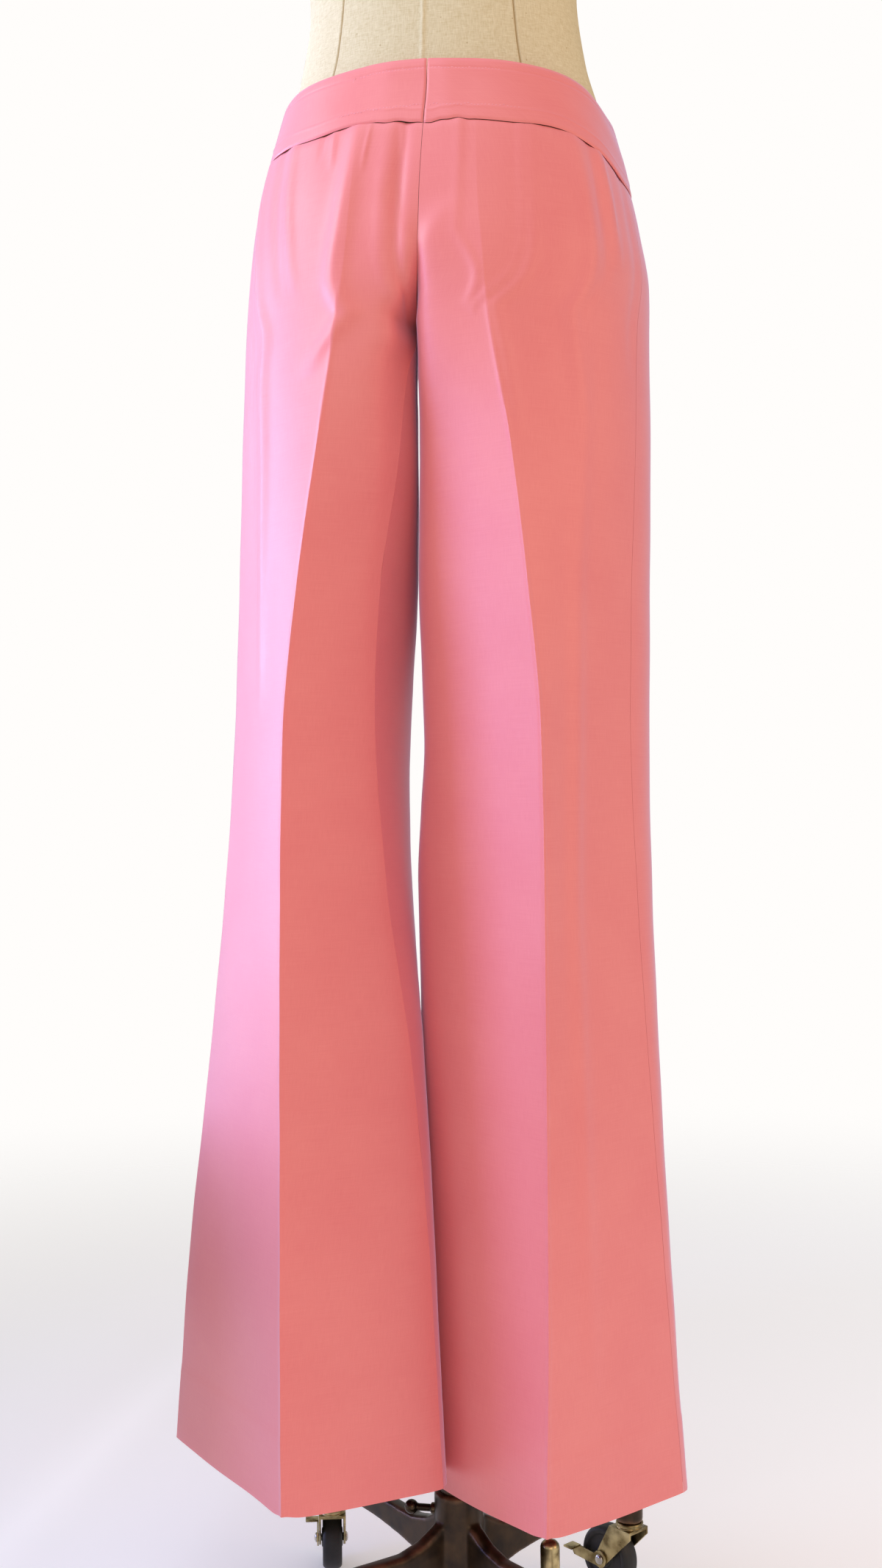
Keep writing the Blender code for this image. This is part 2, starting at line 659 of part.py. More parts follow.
def make_tube():
    low = HUB_BOTTOM_Z + 0.012 + GAP
    bore = ROD_R + SLIDE_FIT
    profile = (
        (bore, low),
        (TUBE_R, low),
        (TUBE_R, TUBE_TOP_Z - 0.001),
        (TUBE_R - 0.001, TUBE_TOP_Z),
        (bore, TUBE_TOP_Z),
    )
    return keep(turned(profile), "outer_tube", "bronze paint", 35)


def make_rod():
    top = FORM[0][0] - GAP
    profile = ((0, ROD_BOTTOM_Z), (ROD_R, ROD_BOTTOM_Z), (ROD_R, top), (0, top))
    return keep(turned(profile), "inner_rod", "bright steel", 35)


def make_leg(number, degrees):
    """An arched arm cut to the hub's curve, with the caster's socket at its end."""
    over = smooth_outline(LEG_OVER, 10)
    under = smooth_outline(LEG_UNDER[::-1], 10)[::-1]
    arm = plate([(x - 0.004, z) if x < 0.021 else (x, z) for x, z in over + under], LEG_THICK, LEG_BEVEL, 2)
    socket = turned(domed(SOCKET_R, SOCKET_BOTTOM_Z, SOCKET_TOP_Z, 0.005), SMALL_ROUND + 4)
    moved(socket, Matrix.Translation((FOOT_REACH, 0, 0)))
    pin_hole = turned(domed(STEM_R + RUNNING_FIT, 0.0, SOCKET_TOP_Z - 0.012, 0.001), SMALL_ROUND)
    moved(pin_hole, Matrix.Translation((FOOT_REACH, 0, 0)))
    hub_cut = turned(((0, 0), (HUB_R + GAP, 0), (HUB_R + GAP, 0.2), (0, 0.2)), ROUND)
    leg = merged(merged(arm, [socket]), [pin_hole, hub_cut], "DIFFERENCE")
    return keep(moved(leg, round_z(degrees)), f"base_leg_{number}", "bronze paint", 35)


def cheek_outline():
    """A fork cheek, from the crown down and back to round the axle. The swivel is at x 0 and the
    axle TRAIL behind it, at -x."""
    eye = 0.0066
    start = atan2(CROWN_BOTTOM_Z - WHEEL_R, TRAIL) + radians(70)
    foot = [
        (-TRAIL + eye * cos(start + pi * i / 7 + pi / 9), WHEEL_R + eye * sin(start + pi * i / 7 + pi / 9))
        for i in range(8)
    ]
    return [(0.0105, CROWN_TOP_Z), (-0.0135, CROWN_TOP_Z), *foot, (0.0105, CROWN_BOTTOM_Z - 0.0040)]


def upright(bm):
    """Lays a piece turned about Z along Y, across the wheel, at the axle."""
    moved(bm, Matrix.Rotation(pi / 2, 4, "X"))
    return moved(bm, Matrix.Translation((-TRAIL, 0, WHEEL_R)))


def axle_hole():
    radius = AXLE_R + RUNNING_FIT
    return upright(turned(((0, -0.03), (radius, -0.03), (radius, 0.03), (0, 0.03)), SMALL_ROUND))


def make_caster(number, degrees, trail_degrees):
    """A swivel caster: fork, axle, wheel and brake lever, built trailing towards -x."""
    place = Matrix.Translation(radial(FOOT_REACH, degrees)) @ round_z(trail_degrees - 180)
    half = CHEEK_IN + CHEEK_THICK
    low, high = CROWN_BOTTOM_Z, CROWN_TOP_Z
    crown = plate([(0.0105, low), (0.0105, high), (-0.0135, high), (-0.0135, low)], 2 * half)
    cheeks = []
    for side in (-1, 1):
        cheek = plate(cheek_outline(), CHEEK_THICK)
        cheeks.append(moved(cheek, Matrix.Translation((0, side * (CHEEK_IN + CHEEK_THICK / 2), 0))))
    race = turned(
        (
            (0, CROWN_TOP_Z - 0.001),
            (RACE_R, CROWN_TOP_Z - 0.001),
            (RACE_R, CROWN_TOP_Z + 0.003),
            (RACE_R - 0.0015, CROWN_TOP_Z + 0.0045),
            (STEM_R, CROWN_TOP_Z + 0.0045),
            (STEM_R, SOCKET_TOP_Z - 0.014),
            (0, SOCKET_TOP_Z - 0.014),
        ),
        SMALL_ROUND + 4,
    )
    eye = axle_hole()
    fork = merged(merged(crown, [*cheeks, race]), [eye], "DIFFERENCE")
    keep(moved(fork, place), f"caster_{number}_fork", "aged brass", 35)

    bore, rim = AXLE_R + RUNNING_FIT, WHEEL_WIDTH / 2
    tread = (
        (bore, -rim - 0.0006),
        (0.0080, -rim - 0.0006),
        (0.0095, -rim + 0.0015),
        (0.0200, -rim + 0.0015),
        (0.0215, -rim),
        (WHEEL_R - 0.0030, -rim),
        (WHEEL_R, -rim + 0.0035),
        (WHEEL_R, rim - 0.0035),
        (WHEEL_R - 0.0030, rim),
        (0.0215, rim),
        (0.0200, rim - 0.0015),
        (0.0095, rim - 0.0015),
        (0.0080, rim + 0.0006),
        (bore, rim + 0.0006),
    )
    wheel = turned(tread, WHEEL_SIDES)
    # Half a side's turn sets one flat of the tread on the floor; the flats' corners keep the radius.
    flat = cos(pi / WHEEL_SIDES)
    moved(wheel, Matrix.Diagonal((1 / flat, 1 / flat, 1, 1)) @ round_z(180 / WHEEL_SIDES))
    keep(moved(upright(wheel), place), f"caster_{number}_wheel", "black rubber", 35)

    outer = half + GAP
    far = outer + LEVER_THICK + GAP
    dome = [
        (RIVET_R * cos(radians(30 * i)), RIVET_HIGH * sin(radians(30 * i))) for i in range(3)
    ]
    axle = (
        [(0, -outer - RIVET_HIGH)]
        + [(r, -outer - h) for r, h in dome[::-1]]
        + [(AXLE_R, -outer), (AXLE_R, far)]
        + [(r, far + h) for r, h in dome]
        + [(0, far + RIVET_HIGH)]
    )
    keep(moved(upright(turned(axle, SMALL_ROUND)), place), f"caster_{number}_axle", "bright steel", 40)

    # The lever swings on the axle outside one cheek; its bent tab is pressed by a foot.
    ring = 0.0075
    arm = [(ring * cos(radians(a)), ring * sin(radians(a))) for a in range(30, 301, 30)]
    outline = [*arm, (LEVER_REACH - 0.002, -0.0050), (LEVER_REACH, -0.0020), (LEVER_REACH, 0.0055)]
    outline = [(-TRAIL - x, WHEEL_R + z) for x, z in outline]
    lever = plate(outline, LEVER_THICK)
    moved(lever, Matrix.Translation((0, -outer - LEVER_THICK / 2, 0)))
    tab_x = -TRAIL - LEVER_REACH
    ends, sides = (tab_x - 0.001, tab_x + 0.009), (WHEEL_R + 0.0040, WHEEL_R + 0.0056)
    corners = [(ends[0], sides[0]), (ends[1], sides[0]), (ends[1], sides[1]), (ends[0], sides[1])]
    tab = plate(corners, LEVER_TAB)
    moved(tab, Matrix.Translation((0, -outer - LEVER_TAB / 2, 0)))
    hole = axle_hole()
    lever = merged(merged(lever, [tab]), [hole], "DIFFERENCE")
    keep(moved(lever, place), f"caster_{number}_lever", "aged brass", 35)


def make_lock_screw():
    """A ball-headed screw in the hub's left side, which clamps the rod."""
    low = HUB_R + GAP
    waist = [
        (SCREW_BALL_R * sin(radians(a)), SCREW_BALL_OUT - SCREW_BALL_R * cos(radians(a)))
        for a in range(35, 180, 24)
    ]
    profile = [(0, low), (SCREW_R + 0.0015, low), (SCREW_R + 0.0015, low + 0.003), (SCREW_R, low + 0.004)]
    bm = turned([*profile, *waist, (0, SCREW_BALL_OUT + SCREW_BALL_R)], SMALL_ROUND)
    moved(bm, Matrix.Rotation(-pi / 2, 4, "Y"))
    return keep(moved(bm, Matrix.Translation((0, 0, SCREW_Z))), "lock_screw", "bright steel", 40)


def make_pedal():
    """A low arm hinged under the hub's right side, with a domed post for a foot to press."""
    low, high = PEDAL_ARM_Z
    arm = plate(
        [(HUB_R + GAP, low), (PEDAL_OUT, low), (PEDAL_OUT, high), (HUB_R + GAP, high)],
        0.0100,
        0.0012,
    )
    post = turned(domed(PEDAL_POST_R, low - 0.001, PEDAL_TOP_Z, 0.006), SMALL_ROUND + 4)
    moved(post, Matrix.Translation((PEDAL_OUT, 0, 0)))
    return keep(moved(merged(arm, [post]), round_z(PEDAL_TURN)), "pedal", "aged brass", 35)


def main():
    clear_scene()
    for leg in ("left", "right"):
        for panel in ("back", "front"):
            make_panel(leg, panel)
    make_waistband()
    make_form()
    make_hub()
    make_tube()
    make_rod()
    make_lock_screw()
    make_pedal()
    for number, (degrees, trail) in enumerate(zip(FOOT_TURNS, TRAIL_TURNS), 1):
        make_leg(number, degrees)
        make_caster(number, degrees, trail)
    for piece in bpy.data.objects:
        piece.location.x += AXIS_X


main()
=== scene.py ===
# %% [markdown]
# # Pink flared trousers on a wheeled dress form
#
# The trousers hang on a limbless linen form on a wheeled base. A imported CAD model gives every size
# and place. This lesson loads it as a fixed frame, then makes the cloth, the form's cover and the
# stand fine enough to look at closely.

# %% Load the frame
from math import cos, hypot, pi, radians, sin, tau

import bmesh
import bpy
import numpy as np
from mathutils import Matrix, Vector


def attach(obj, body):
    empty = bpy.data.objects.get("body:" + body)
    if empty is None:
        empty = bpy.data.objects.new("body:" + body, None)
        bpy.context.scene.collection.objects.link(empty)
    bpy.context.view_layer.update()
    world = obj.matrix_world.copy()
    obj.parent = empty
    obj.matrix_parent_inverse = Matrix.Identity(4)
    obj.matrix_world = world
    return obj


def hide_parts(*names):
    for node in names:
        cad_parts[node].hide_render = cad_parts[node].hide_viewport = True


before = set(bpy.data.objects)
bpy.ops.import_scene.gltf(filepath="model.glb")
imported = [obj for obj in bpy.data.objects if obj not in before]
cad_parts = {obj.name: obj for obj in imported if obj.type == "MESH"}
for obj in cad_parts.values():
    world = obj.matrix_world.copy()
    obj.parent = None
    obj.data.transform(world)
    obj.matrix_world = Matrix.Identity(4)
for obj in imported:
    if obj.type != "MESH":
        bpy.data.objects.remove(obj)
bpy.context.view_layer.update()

# %% [markdown]
# ## Camera
#
# The photograph was taken level, 1.45 m from the pole and 11 degrees to its right, with the phone
# tipped by half a degree. The lens is worked out from the picture's height in pixels.

# %% Camera
PHOTO_HIGH = 2133
FOCAL_PIXELS = 2400
POLE_X = 0.020  # the stand's pole, from the middle of the object
CAMERA_TURN = radians(11)
CAMERA_TILT = radians(0.53)
CAMERA_AWAY, CAMERA_LEFT, CAMERA_HIGH = 1.45, 0.0094, 0.72
SENSOR_HIGH = 36  # mm

camera_right = Vector((cos(CAMERA_TURN), sin(CAMERA_TURN), 0))
camera_ahead = Vector((-sin(CAMERA_TURN), cos(CAMERA_TURN), 0))
camera_place = Vector((POLE_X, 0, CAMERA_HIGH)) - CAMERA_AWAY * camera_ahead
camera_place -= CAMERA_LEFT * camera_right
lens = bpy.data.cameras.new("camera")
lens.sensor_fit, lens.sensor_height = "VERTICAL", SENSOR_HIGH
lens.lens = FOCAL_PIXELS / PHOTO_HIGH * SENSOR_HIGH
camera = bpy.data.objects.new("camera", lens)
bpy.context.scene.collection.objects.link(camera)
across = cos(CAMERA_TILT) * camera_right - sin(CAMERA_TILT) * Vector((0, 0, 1))
camera_axes = Matrix((across, across.cross(camera_ahead), -camera_ahead)).transposed()
camera.matrix_world = Matrix.Translation(camera_place) @ camera_axes.to_4x4()
bpy.context.scene.camera = camera
print("lens", round(lens.lens, 2), "mm")

# %% [markdown]
# ## The cloth's form
#
# Pressed trousers are two tubes that meet above the crotch. At every height a tube's outline runs
# from the side seam to the pressed crease, and from there to the centre seam or the inseam. Each of
# these four stretches is a Bezier curve, so a short table of seam and crease places gives the whole
# garment. The outlines repeat the CAD's sizes, so that the fine cloth lies on the CAD's panels.

# %% Seams and creases, level by level
# Columns: z; the side seam's outward x, its y and its lean in degrees; the pressed crease's outward
# x, its y behind and its y in front; the degrees that the outline turns by at the crease, on its
# outer and inner side, behind and then in front.
HIPS = (
    (1.300, 0.1260, 0.000, 8, 0.044, -0.0885, 0.0900, 12, -12, 5, -5),
    (1.262, 0.1345, 0.000, 8, 0.045, -0.0935, 0.0945, 12, -12, 5, -5),
    (1.222, 0.1460, 0.000, 8, 0.046, -0.1020, 0.1010, 13, -10, 6, -5),
    (1.170, 0.1580, 0.000, 10, 0.049, -0.1120, 0.1065, 15, -6, 8, -3),
    (1.125, 0.1640, -0.002, 14, 0.053, -0.1170, 0.1095, 18, 0, 12, 2),
)
HIP_SHIFTS = (-0.003, -0.003, -0.004, -0.005, -0.005)  # the hips hang to the wearer's left
LEGS = {
    "left": (
        (1.080, 0.1720, -0.004, 18, 0.064, -0.1195, 0.1105, 23, 11, 18, 12),
        (0.980, 0.1755, -0.006, 22, 0.080, -0.1225, 0.1085, 34, 29, 26, 26),
        (0.870, 0.1790, -0.006, 24, 0.096, -0.1260, 0.1050, 44, 37, 34, 32),
        (0.760, 0.1840, -0.006, 26, 0.107, -0.1280, 0.1010, 50, 39, 38, 36),
        (0.640, 0.1935, -0.004, 29, 0.110, -0.1290, 0.0980, 52, 38, 42, 41),
        (0.480, 0.2120, 0.000, 33, 0.111, -0.1320, 0.0960, 51, 34, 44, 46),
        (0.320, 0.2320, 0.004, 37, 0.111, -0.1370, 0.0940, 50, 33, 44, 48),
        (0.160, 0.2455, 0.006, 40, 0.110, -0.1410, 0.0930, 48, 34, 44, 47),
    ),
    "right": (
        (1.080, 0.1560, -0.016, 20, 0.052, -0.1185, 0.1110, 23, 11, 18, 12),
        (0.980, 0.1545, -0.024, 26, 0.069, -0.1225, 0.1100, 36, 28, 28, 28),
        (0.870, 0.1505, -0.028, 30, 0.082, -0.1260, 0.1090, 46, 31, 34, 34),
        (0.760, 0.1490, -0.028, 32, 0.091, -0.1265, 0.1090, 52, 34, 40, 40),
        (0.640, 0.1525, -0.026, 33, 0.0925, -0.1260, 0.1120, 54, 37, 44, 44),
        (0.480, 0.1615, -0.020, 34, 0.0925, -0.1240, 0.1220, 53, 40, 48, 48),
        (0.320, 0.1715, -0.010, 35, 0.0915, -0.1180, 0.1370, 52, 42, 50, 50),
        (0.140, 0.1835, 0.004, 36, 0.0870, -0.1080, 0.1520, 50, 42, 50, 50),
    ),
}
CROTCH_Z = 1.080
# The centre seams: z, x, y behind and in front, degrees behind and in front.
FORK = (
    (1.300, 0.0030, -0.0940, 0.0945, 0, 0),
    (1.262, 0.0036, -0.0985, 0.0990, 0, 0),
    (1.222, 0.0015, -0.1055, 0.1055, 0, 0),
    (1.170, -0.0008, -0.1120, 0.1105, 4, 4),
    (1.135, -0.0022, -0.1120, 0.1110, 30, 12),
    (1.110, -0.0045, -0.1020, 0.1040, 66, 26),
    (1.096, -0.0082, -0.0860, 0.0850, 76, 46),
    (1.087, -0.0118, -0.0690, 0.0350, 79, 66),
)
# The inseams: z, outward x, y, degrees of the back panel and the front panel.
INSEAMS = {
    "left": (
        (1.080, 0.0153, -0.055, 82, 92),
        (1.064, 0.0137, -0.066, 78, 84),
        (1.048, 0.0160, -0.078, 62, 76),
        (1.030, 0.0188, -0.081, 56, 72),
        (0.970, 0.0255, -0.081, 52, 72),
        (0.870, 0.0415, -0.080, 50, 74),
        (0.770, 0.0470, -0.077, 50, 75),
        (0.640, 0.0398, -0.072, 50, 75),
        (0.510, 0.0230, -0.067, 52, 76),
        (0.355, 0.0100, -0.065, 53, 78),
        (0.160, 0.0007, -0.063, 54, 84),
    ),
    "right": (
        (1.080, -0.0137, -0.055, 82, 84),
        (1.048, -0.0130, -0.058, 80, 80),
        (0.980, -0.0136, -0.055, 79, 79),
        (0.870, -0.0167, -0.047, 79, 80),
        (0.760, -0.0146, -0.042, 79, 76),
        (0.700, -0.0195, -0.033, 79, 80),
        (0.640, -0.0249, -0.022, 78, 88),
        (0.480, -0.0247, -0.012, 74, 98),
        (0.320, -0.0262, -0.001, 70, 102),
        (0.140, -0.0270, 0.004, 66, 108),
    ),
}
# The left leg's inner side, beyond its inseam: z, the x of the sight line that it ends on at
# y = -80 mm, and how far it turns away outwards for each metre forwards.
PRESSED = (
    (1.080, -0.0100, 0.20),
    (1.055, -0.0108, 0.20),
    (0.987, -0.0103, 0.20),
    (0.895, -0.0112, 0.20),
    (0.850, -0.0118, 0.24),
    (0.804, -0.0131, 0.33),
    (0.770, -0.0148, 0.33),
    (0.712, -0.0164, 0.36),
    (0.667, -0.0158, 0.40),
    (0.640, -0.0144, 0.40),
    (0.598, -0.0122, 0.44),
    (0.506, -0.0060, 0.54),
    (0.415, -0.0006, 0.55),
    (0.324, 0.0057, 0.50),
    (0.160, 0.0130, 0.50),
)
SIGHT_SLOPE, SIGHT_Y = 0.2, -0.08  # the sight line's x for each metre back, and where it is read
PRESSED_ROUND = 0.0015
PRESSED_FADE = 0.05  # in u, beside the inseam
SEAM_GAP = 0.0003
OUTER_HUG = 0.72  # how close a section keeps to its corners
INNER_HUG = {
    ("left", "back"): 1.1, ("left", "front"): 0.84,
    ("right", "back"): 1.1, ("right", "front"): 1.0,
}
HANDLE_LEAST, HANDLE_MOST = 0.12, 0.80  # of the distance between a curve's ends
CURVE_STEPS = 48


def eased(rows, at):
    """A table's values at the given heights, on curves that never overshoot a row."""
    table = np.array(sorted(rows), float)
    z, values = table[:, 0], table[:, 1:]
    at = np.clip(np.atleast_1d(np.asarray(at, float)), z[0], z[-1])
    step = np.diff(z)[:, None]
    slope = np.diff(values, axis=0) / step
    tangent = np.zeros_like(values)
    tangent[0], tangent[-1] = slope[0], slope[-1]
    both = slope[:-1] + slope[1:]
    same = slope[:-1] * slope[1:] > 0
    tangent[1:-1] = np.where(same, 2 * slope[:-1] * slope[1:] / np.where(same, both, 1), 0)
    i = np.clip(np.searchsorted(z, at, side="right") - 1, 0, len(z) - 2)
    h = step[i]
    t = ((at - z[i]) / h[:, 0])[:, None]
    return (
        (1 + 2 * t) * (1 - t) ** 2 * values[i]
        + t * (1 - t) ** 2 * h * tangent[i]
        + t**2 * (3 - 2 * t) * values[i + 1]
        + t**2 * (t - 1) * h * tangent[i + 1]
    )


# %% One outline from its table row
def way(degrees, outward, forward):
    return np.array([outward * cos(radians(degrees)), forward * sin(radians(degrees))])


def bent(start, start_way, end, end_way, shares, hug):
    """Points at shares of the way along the curve between two points, with given directions."""
    chord = end - start
    length = hypot(*chord)
    turn = start_way[0] * end_way[1] - start_way[1] * end_way[0]
    turn = turn if abs(turn) > 1e-6 else 1e-6
    to_corner = [
        (chord[0] * end_way[1] - chord[1] * end_way[0]) / turn,
        (chord[0] * start_way[1] - chord[1] * start_way[0]) / turn,
    ]
    near, far = (min(max(hug * d, HANDLE_LEAST * length), HANDLE_MOST * length) for d in to_corner)
    t = np.linspace(0, 1, CURVE_STEPS + 1)[:, None]
    line = (
        (1 - t) ** 3 * start
        + 3 * t * (1 - t) ** 2 * (start + near * start_way)
        + 3 * t**2 * (1 - t) * (end + far * end_way)
        + t**3 * end
    )
    along = np.concatenate([[0], np.cumsum(np.hypot(*np.diff(line, axis=0).T))])
    wanted = shares * along[-1]
    return np.stack([np.interp(wanted, along, line[:, k]) for k in (0, 1)], 1)


def outline(leg, panel, row, edge, over, u):
    """A panel's outline at one height: outward x and y at each u, from side seam to inner edge."""
    side_x, side_y, lean, crease_x, back_y, front_y, *turns = row
    forward = 1 if panel == "back" else -1
    side = np.array([side_x, side_y])
    crease = np.array([crease_x, back_y if panel == "back" else front_y])
    out, inward = turns[:2] if panel == "back" else turns[2:]
    outer, inner = u <= 0.5, u > 0.5
    start_way = way(90 + forward * lean, 1, -forward)
    points = np.empty((len(u), 2))
    points[outer] = bent(side, start_way, crease, way(out, 1, forward), 2 * u[outer], OUTER_HUG)
    end_way = way(over, 1, -forward)
    hug = INNER_HUG[leg, panel]
    points[inner] = bent(crease, way(inward, -1, forward), edge, end_way, 2 * u[inner] - 1, hug)
    return points


# %% [markdown]
# ## The fine surface of a panel
#
# A panel is a grid of 331 rows by 97 columns. Across it, u runs from 0 at the side seam, past 0.5
# at the crease, to 1 at the inner edge. Its rows follow the curved waist seam at the top and lie
# level at the hem. Folds are soft troughs and ridges, pushed along the surface's own normal.

# %% Waist seam, grid and folds
# The waistband's edges: the way round from the centre back (0.25 is the left side), and the height.
BAND_TOP = (
    (0.00, 1.278), (0.10, 1.278), (0.17, 1.2745), (0.25, 1.268), (0.50, 1.262),
    (0.75, 1.257), (0.79, 1.267), (0.83, 1.2725), (0.88, 1.2765), (0.95, 1.277), (1.00, 1.278),
)
BAND_SEAM = (
    (0.00, 1.225), (0.06, 1.228), (0.11, 1.229), (0.17, 1.225), (0.25, 1.228), (0.50, 1.209),
    (0.75, 1.200), (0.79, 1.213), (0.82, 1.222), (0.87, 1.226), (0.93, 1.227), (1.00, 1.225),
)
BACK_SEAM_Z = 1.226
FORK_TOP_Z = 1.135
HEM_Z = {"left": 0.165, "right": 0.148}
LEVELS = np.arange(0.136, 1.302, 0.002)


def seam_height(turn):
    """The waistband's lower seam, which sewing leaves a little uneven."""
    ripple = 0.0004 * np.sin(9 * tau * turn) + 0.0004 * np.sin(23 * tau * turn + 1)
    return eased(BAND_SEAM, turn)[:, 0] + ripple


def turn_of(leg, panel, u):
    quarter = 0.25 * (1 - u)
    turn = quarter if panel == "back" else 0.5 - quarter
    return turn if leg == "left" else 1 - turn


def half_rows(leg):
    """The hips' rows and the leg's as one table of outward x."""
    sign = -1 if leg == "left" else 1
    hips = [
        (z, side_x + sign * shift, side_y, lean, crease_x + sign * shift, *rest)
        for (z, side_x, side_y, lean, crease_x, *rest), shift in zip(HIPS, HIP_SHIFTS)
    ]
    return (*LEGS[leg], *hips)


def edge_rows(leg, panel):
    """A panel's inner edge as two tables, below the crotch and above it."""
    sign = -1 if leg == "left" else 1
    inseam = [(*r[:3], r[3] if panel == "back" else 180 - r[4]) for r in INSEAMS[leg]]
    at = 0 if panel == "back" else 1
    centre = [(r[0], sign * r[1] + SEAM_GAP / 2, r[2 + at], r[4 + at]) for r in FORK]
    return inseam, [inseam[0], *centre]


def level_outlines(leg, panel, u):
    """x and y at every level of LEVELS and every u."""
    rows = eased(half_rows(leg), LEVELS)
    below, above = (eased(table, LEVELS) for table in edge_rows(leg, panel))
    edges = np.where((LEVELS < CROTCH_Z)[:, None], below, above)
    sign = -1 if leg == "left" else 1
    stack = np.array([outline(leg, panel, row, e[:2], e[2], u) for row, e in zip(rows, edges)])
    if (leg, panel) == ("left", "front"):
        sight, slope = eased(PRESSED, LEVELS).T
        over = np.radians(180 - edges[:, 2])
        gone = edges[:, 0] + sight - SIGHT_SLOPE * (edges[:, 1] - SIGHT_Y)
        gone /= np.cos(over) + SIGHT_SLOPE * np.sin(over)
        corner = edges[:, :2] + gone[:, None] * np.stack([-np.cos(over), np.sin(over)], 1)
        nearest = corner[:, :1] + slope[:, None] * (stack[..., 1] - corner[:, 1:])
        flat = nearest + PRESSED_ROUND * np.logaddexp(0, (stack[..., 0] - nearest) / PRESSED_ROUND)
        flat = np.where((LEVELS < CROTCH_Z)[:, None], flat, stack[..., 0])
        stack[..., 0] += (flat - stack[..., 0]) * np.clip((1 - u) / PRESSED_FADE, 0, 1)
    return stack * (sign, 1) + (POLE_X, 0)


# The columns' u, closer together round the crease.
even = np.linspace(-1, 1, 97)
PANEL_U = 0.5 + even * (0.35 + 0.65 * np.abs(even)) * 0.5
SIDE_TRIM = SEAM_GAP / 0.66  # in u: a sixth of the CAD's gap, so that no line of light shows


def on_outlines(outlines, z):
    """Places by rows and columns, at heights z, on outlines that are given at LEVELS."""
    grid = np.empty((*z.shape, 3))
    for k in range(z.shape[1]):
        for axis in (0, 1):
            grid[:, k, axis] = np.interp(z[:, k], LEVELS, outlines[:, k, axis])
    grid[..., 2] = z
    return grid


def panel_grid(leg, panel, rows=330):
    """The panel's outer surface without folds: heights by columns by x, y, z."""
    u = np.clip(PANEL_U, SIDE_TRIM, 1)
    outlines = level_outlines(leg, panel, u)
    down = np.linspace(0, 1, rows + 1)
    flat = BACK_SEAM_Z + (HEM_Z[leg] - BACK_SEAM_Z) * down
    seam = seam_height(turn_of(leg, panel, PANEL_U)) - SEAM_GAP
    share = np.clip((flat - FORK_TOP_Z) / (BACK_SEAM_Z - FORK_TOP_Z), 0, 1)
    z = flat[:, None] + (seam - BACK_SEAM_Z)[None, :] * share[:, None]
    return on_outlines(outlines, z)


def grid_normals(grid, out):
    """Unit normals of a grid, turned to agree with out, a rough way out for all or each point."""
    normal = np.cross(np.gradient(grid, axis=1), np.gradient(grid, axis=0))
    normal /= np.linalg.norm(normal, axis=2, keepdims=True) + 1e-12
    return normal if (normal * out).sum() > 0 else -normal


def along_rows(grid):
    """How far along its row each point of a grid is, in metres."""
    step = np.linalg.norm(np.diff(grid, axis=1), axis=2)
    return np.concatenate([np.zeros((len(grid), 1)), np.cumsum(step, axis=1)], 1)


def ridge(apart, high, wide):
    """A soft ridge, or a trough where high is less than 0, at each distance from its middle."""
    return high * np.exp(-((apart / wide) ** 2))


# %% Folds
# Each panel's folds: u at the top and bottom, how long a fold holds to its top's u (1 is a straight
# line), its top and bottom heights, how far it stands proud in mm (less than 0 is a trough) and its
# half width in mm.
FOLDS = {
    ("left", "back"): (
        (0.75, 0.60, 2.2, 1.236, 1.035, 4.6, 10),
        (0.93, 0.92, 1.0, 1.232, 1.080, -3.2, 5.4),
        (0.87, 0.86, 1.0, 1.232, 1.080, 0.8, 5.0),
        (0.64, 0.66, 1.0, 1.236, 1.195, 0.9, 2.5),
        (0.60, 0.60, 1.0, 1.236, 1.205, -0.7, 2.5),
        (0.80, 0.79, 1.0, 1.229, 1.190, 0.8, 2.0),
        (0.92, 0.93, 1.0, 1.229, 1.200, 0.7, 2.0),
        (0.44, 0.53, 1.0, 1.232, 1.100, 2.0, 5.0),
        (0.37, 0.45, 1.0, 1.232, 1.100, -1.8, 5.0),
        (0.21, 0.42, 0.7, 1.236, 0.780, 3.0, 8.0),
        (0.13, 0.26, 0.8, 1.230, 0.900, -1.0, 6.0),
    ),
    ("right", "back"): (
        (0.41, 0.28, 0.8, 1.218, 1.000, 3.2, 8.0),
        (0.26, 0.30, 1.0, 1.120, 0.240, 1.8, 9.0),
        (0.27, 0.19, 1.0, 1.215, 1.120, 2.2, 4.5),
        (0.32, 0.25, 1.0, 1.215, 1.100, -1.8, 4.5),
        (0.10, 0.03, 0.8, 1.212, 1.040, -1.2, 5.0),
        (0.59, 0.50, 1.6, 1.170, 0.980, 2.0, 6.0),
        (0.86, 0.64, 1.0, 1.136, 1.078, 1.4, 4.5),
        (0.63, 0.63, 1.0, 1.110, 1.074, 1.2, 2.8),
    ),
    ("left", "front"): (
        (0.22, 0.18, 1.0, 1.220, 0.500, 1.8, 12),
        (0.50, 0.50, 1.0, 1.210, 1.000, 1.6, 9),
        (0.88, 0.86, 1.0, 1.205, 1.060, -1.2, 8),
    ),
    ("right", "front"): (
        (0.26, 0.20, 1.0, 1.190, 0.400, 1.8, 12),
        (0.50, 0.50, 1.0, 1.190, 1.000, 1.6, 9),
        (0.86, 0.84, 1.0, 1.200, 1.060, -1.2, 8),
    ),
}
HEM_STEP = 0.062  # the turned-up hem's edge, above the hem


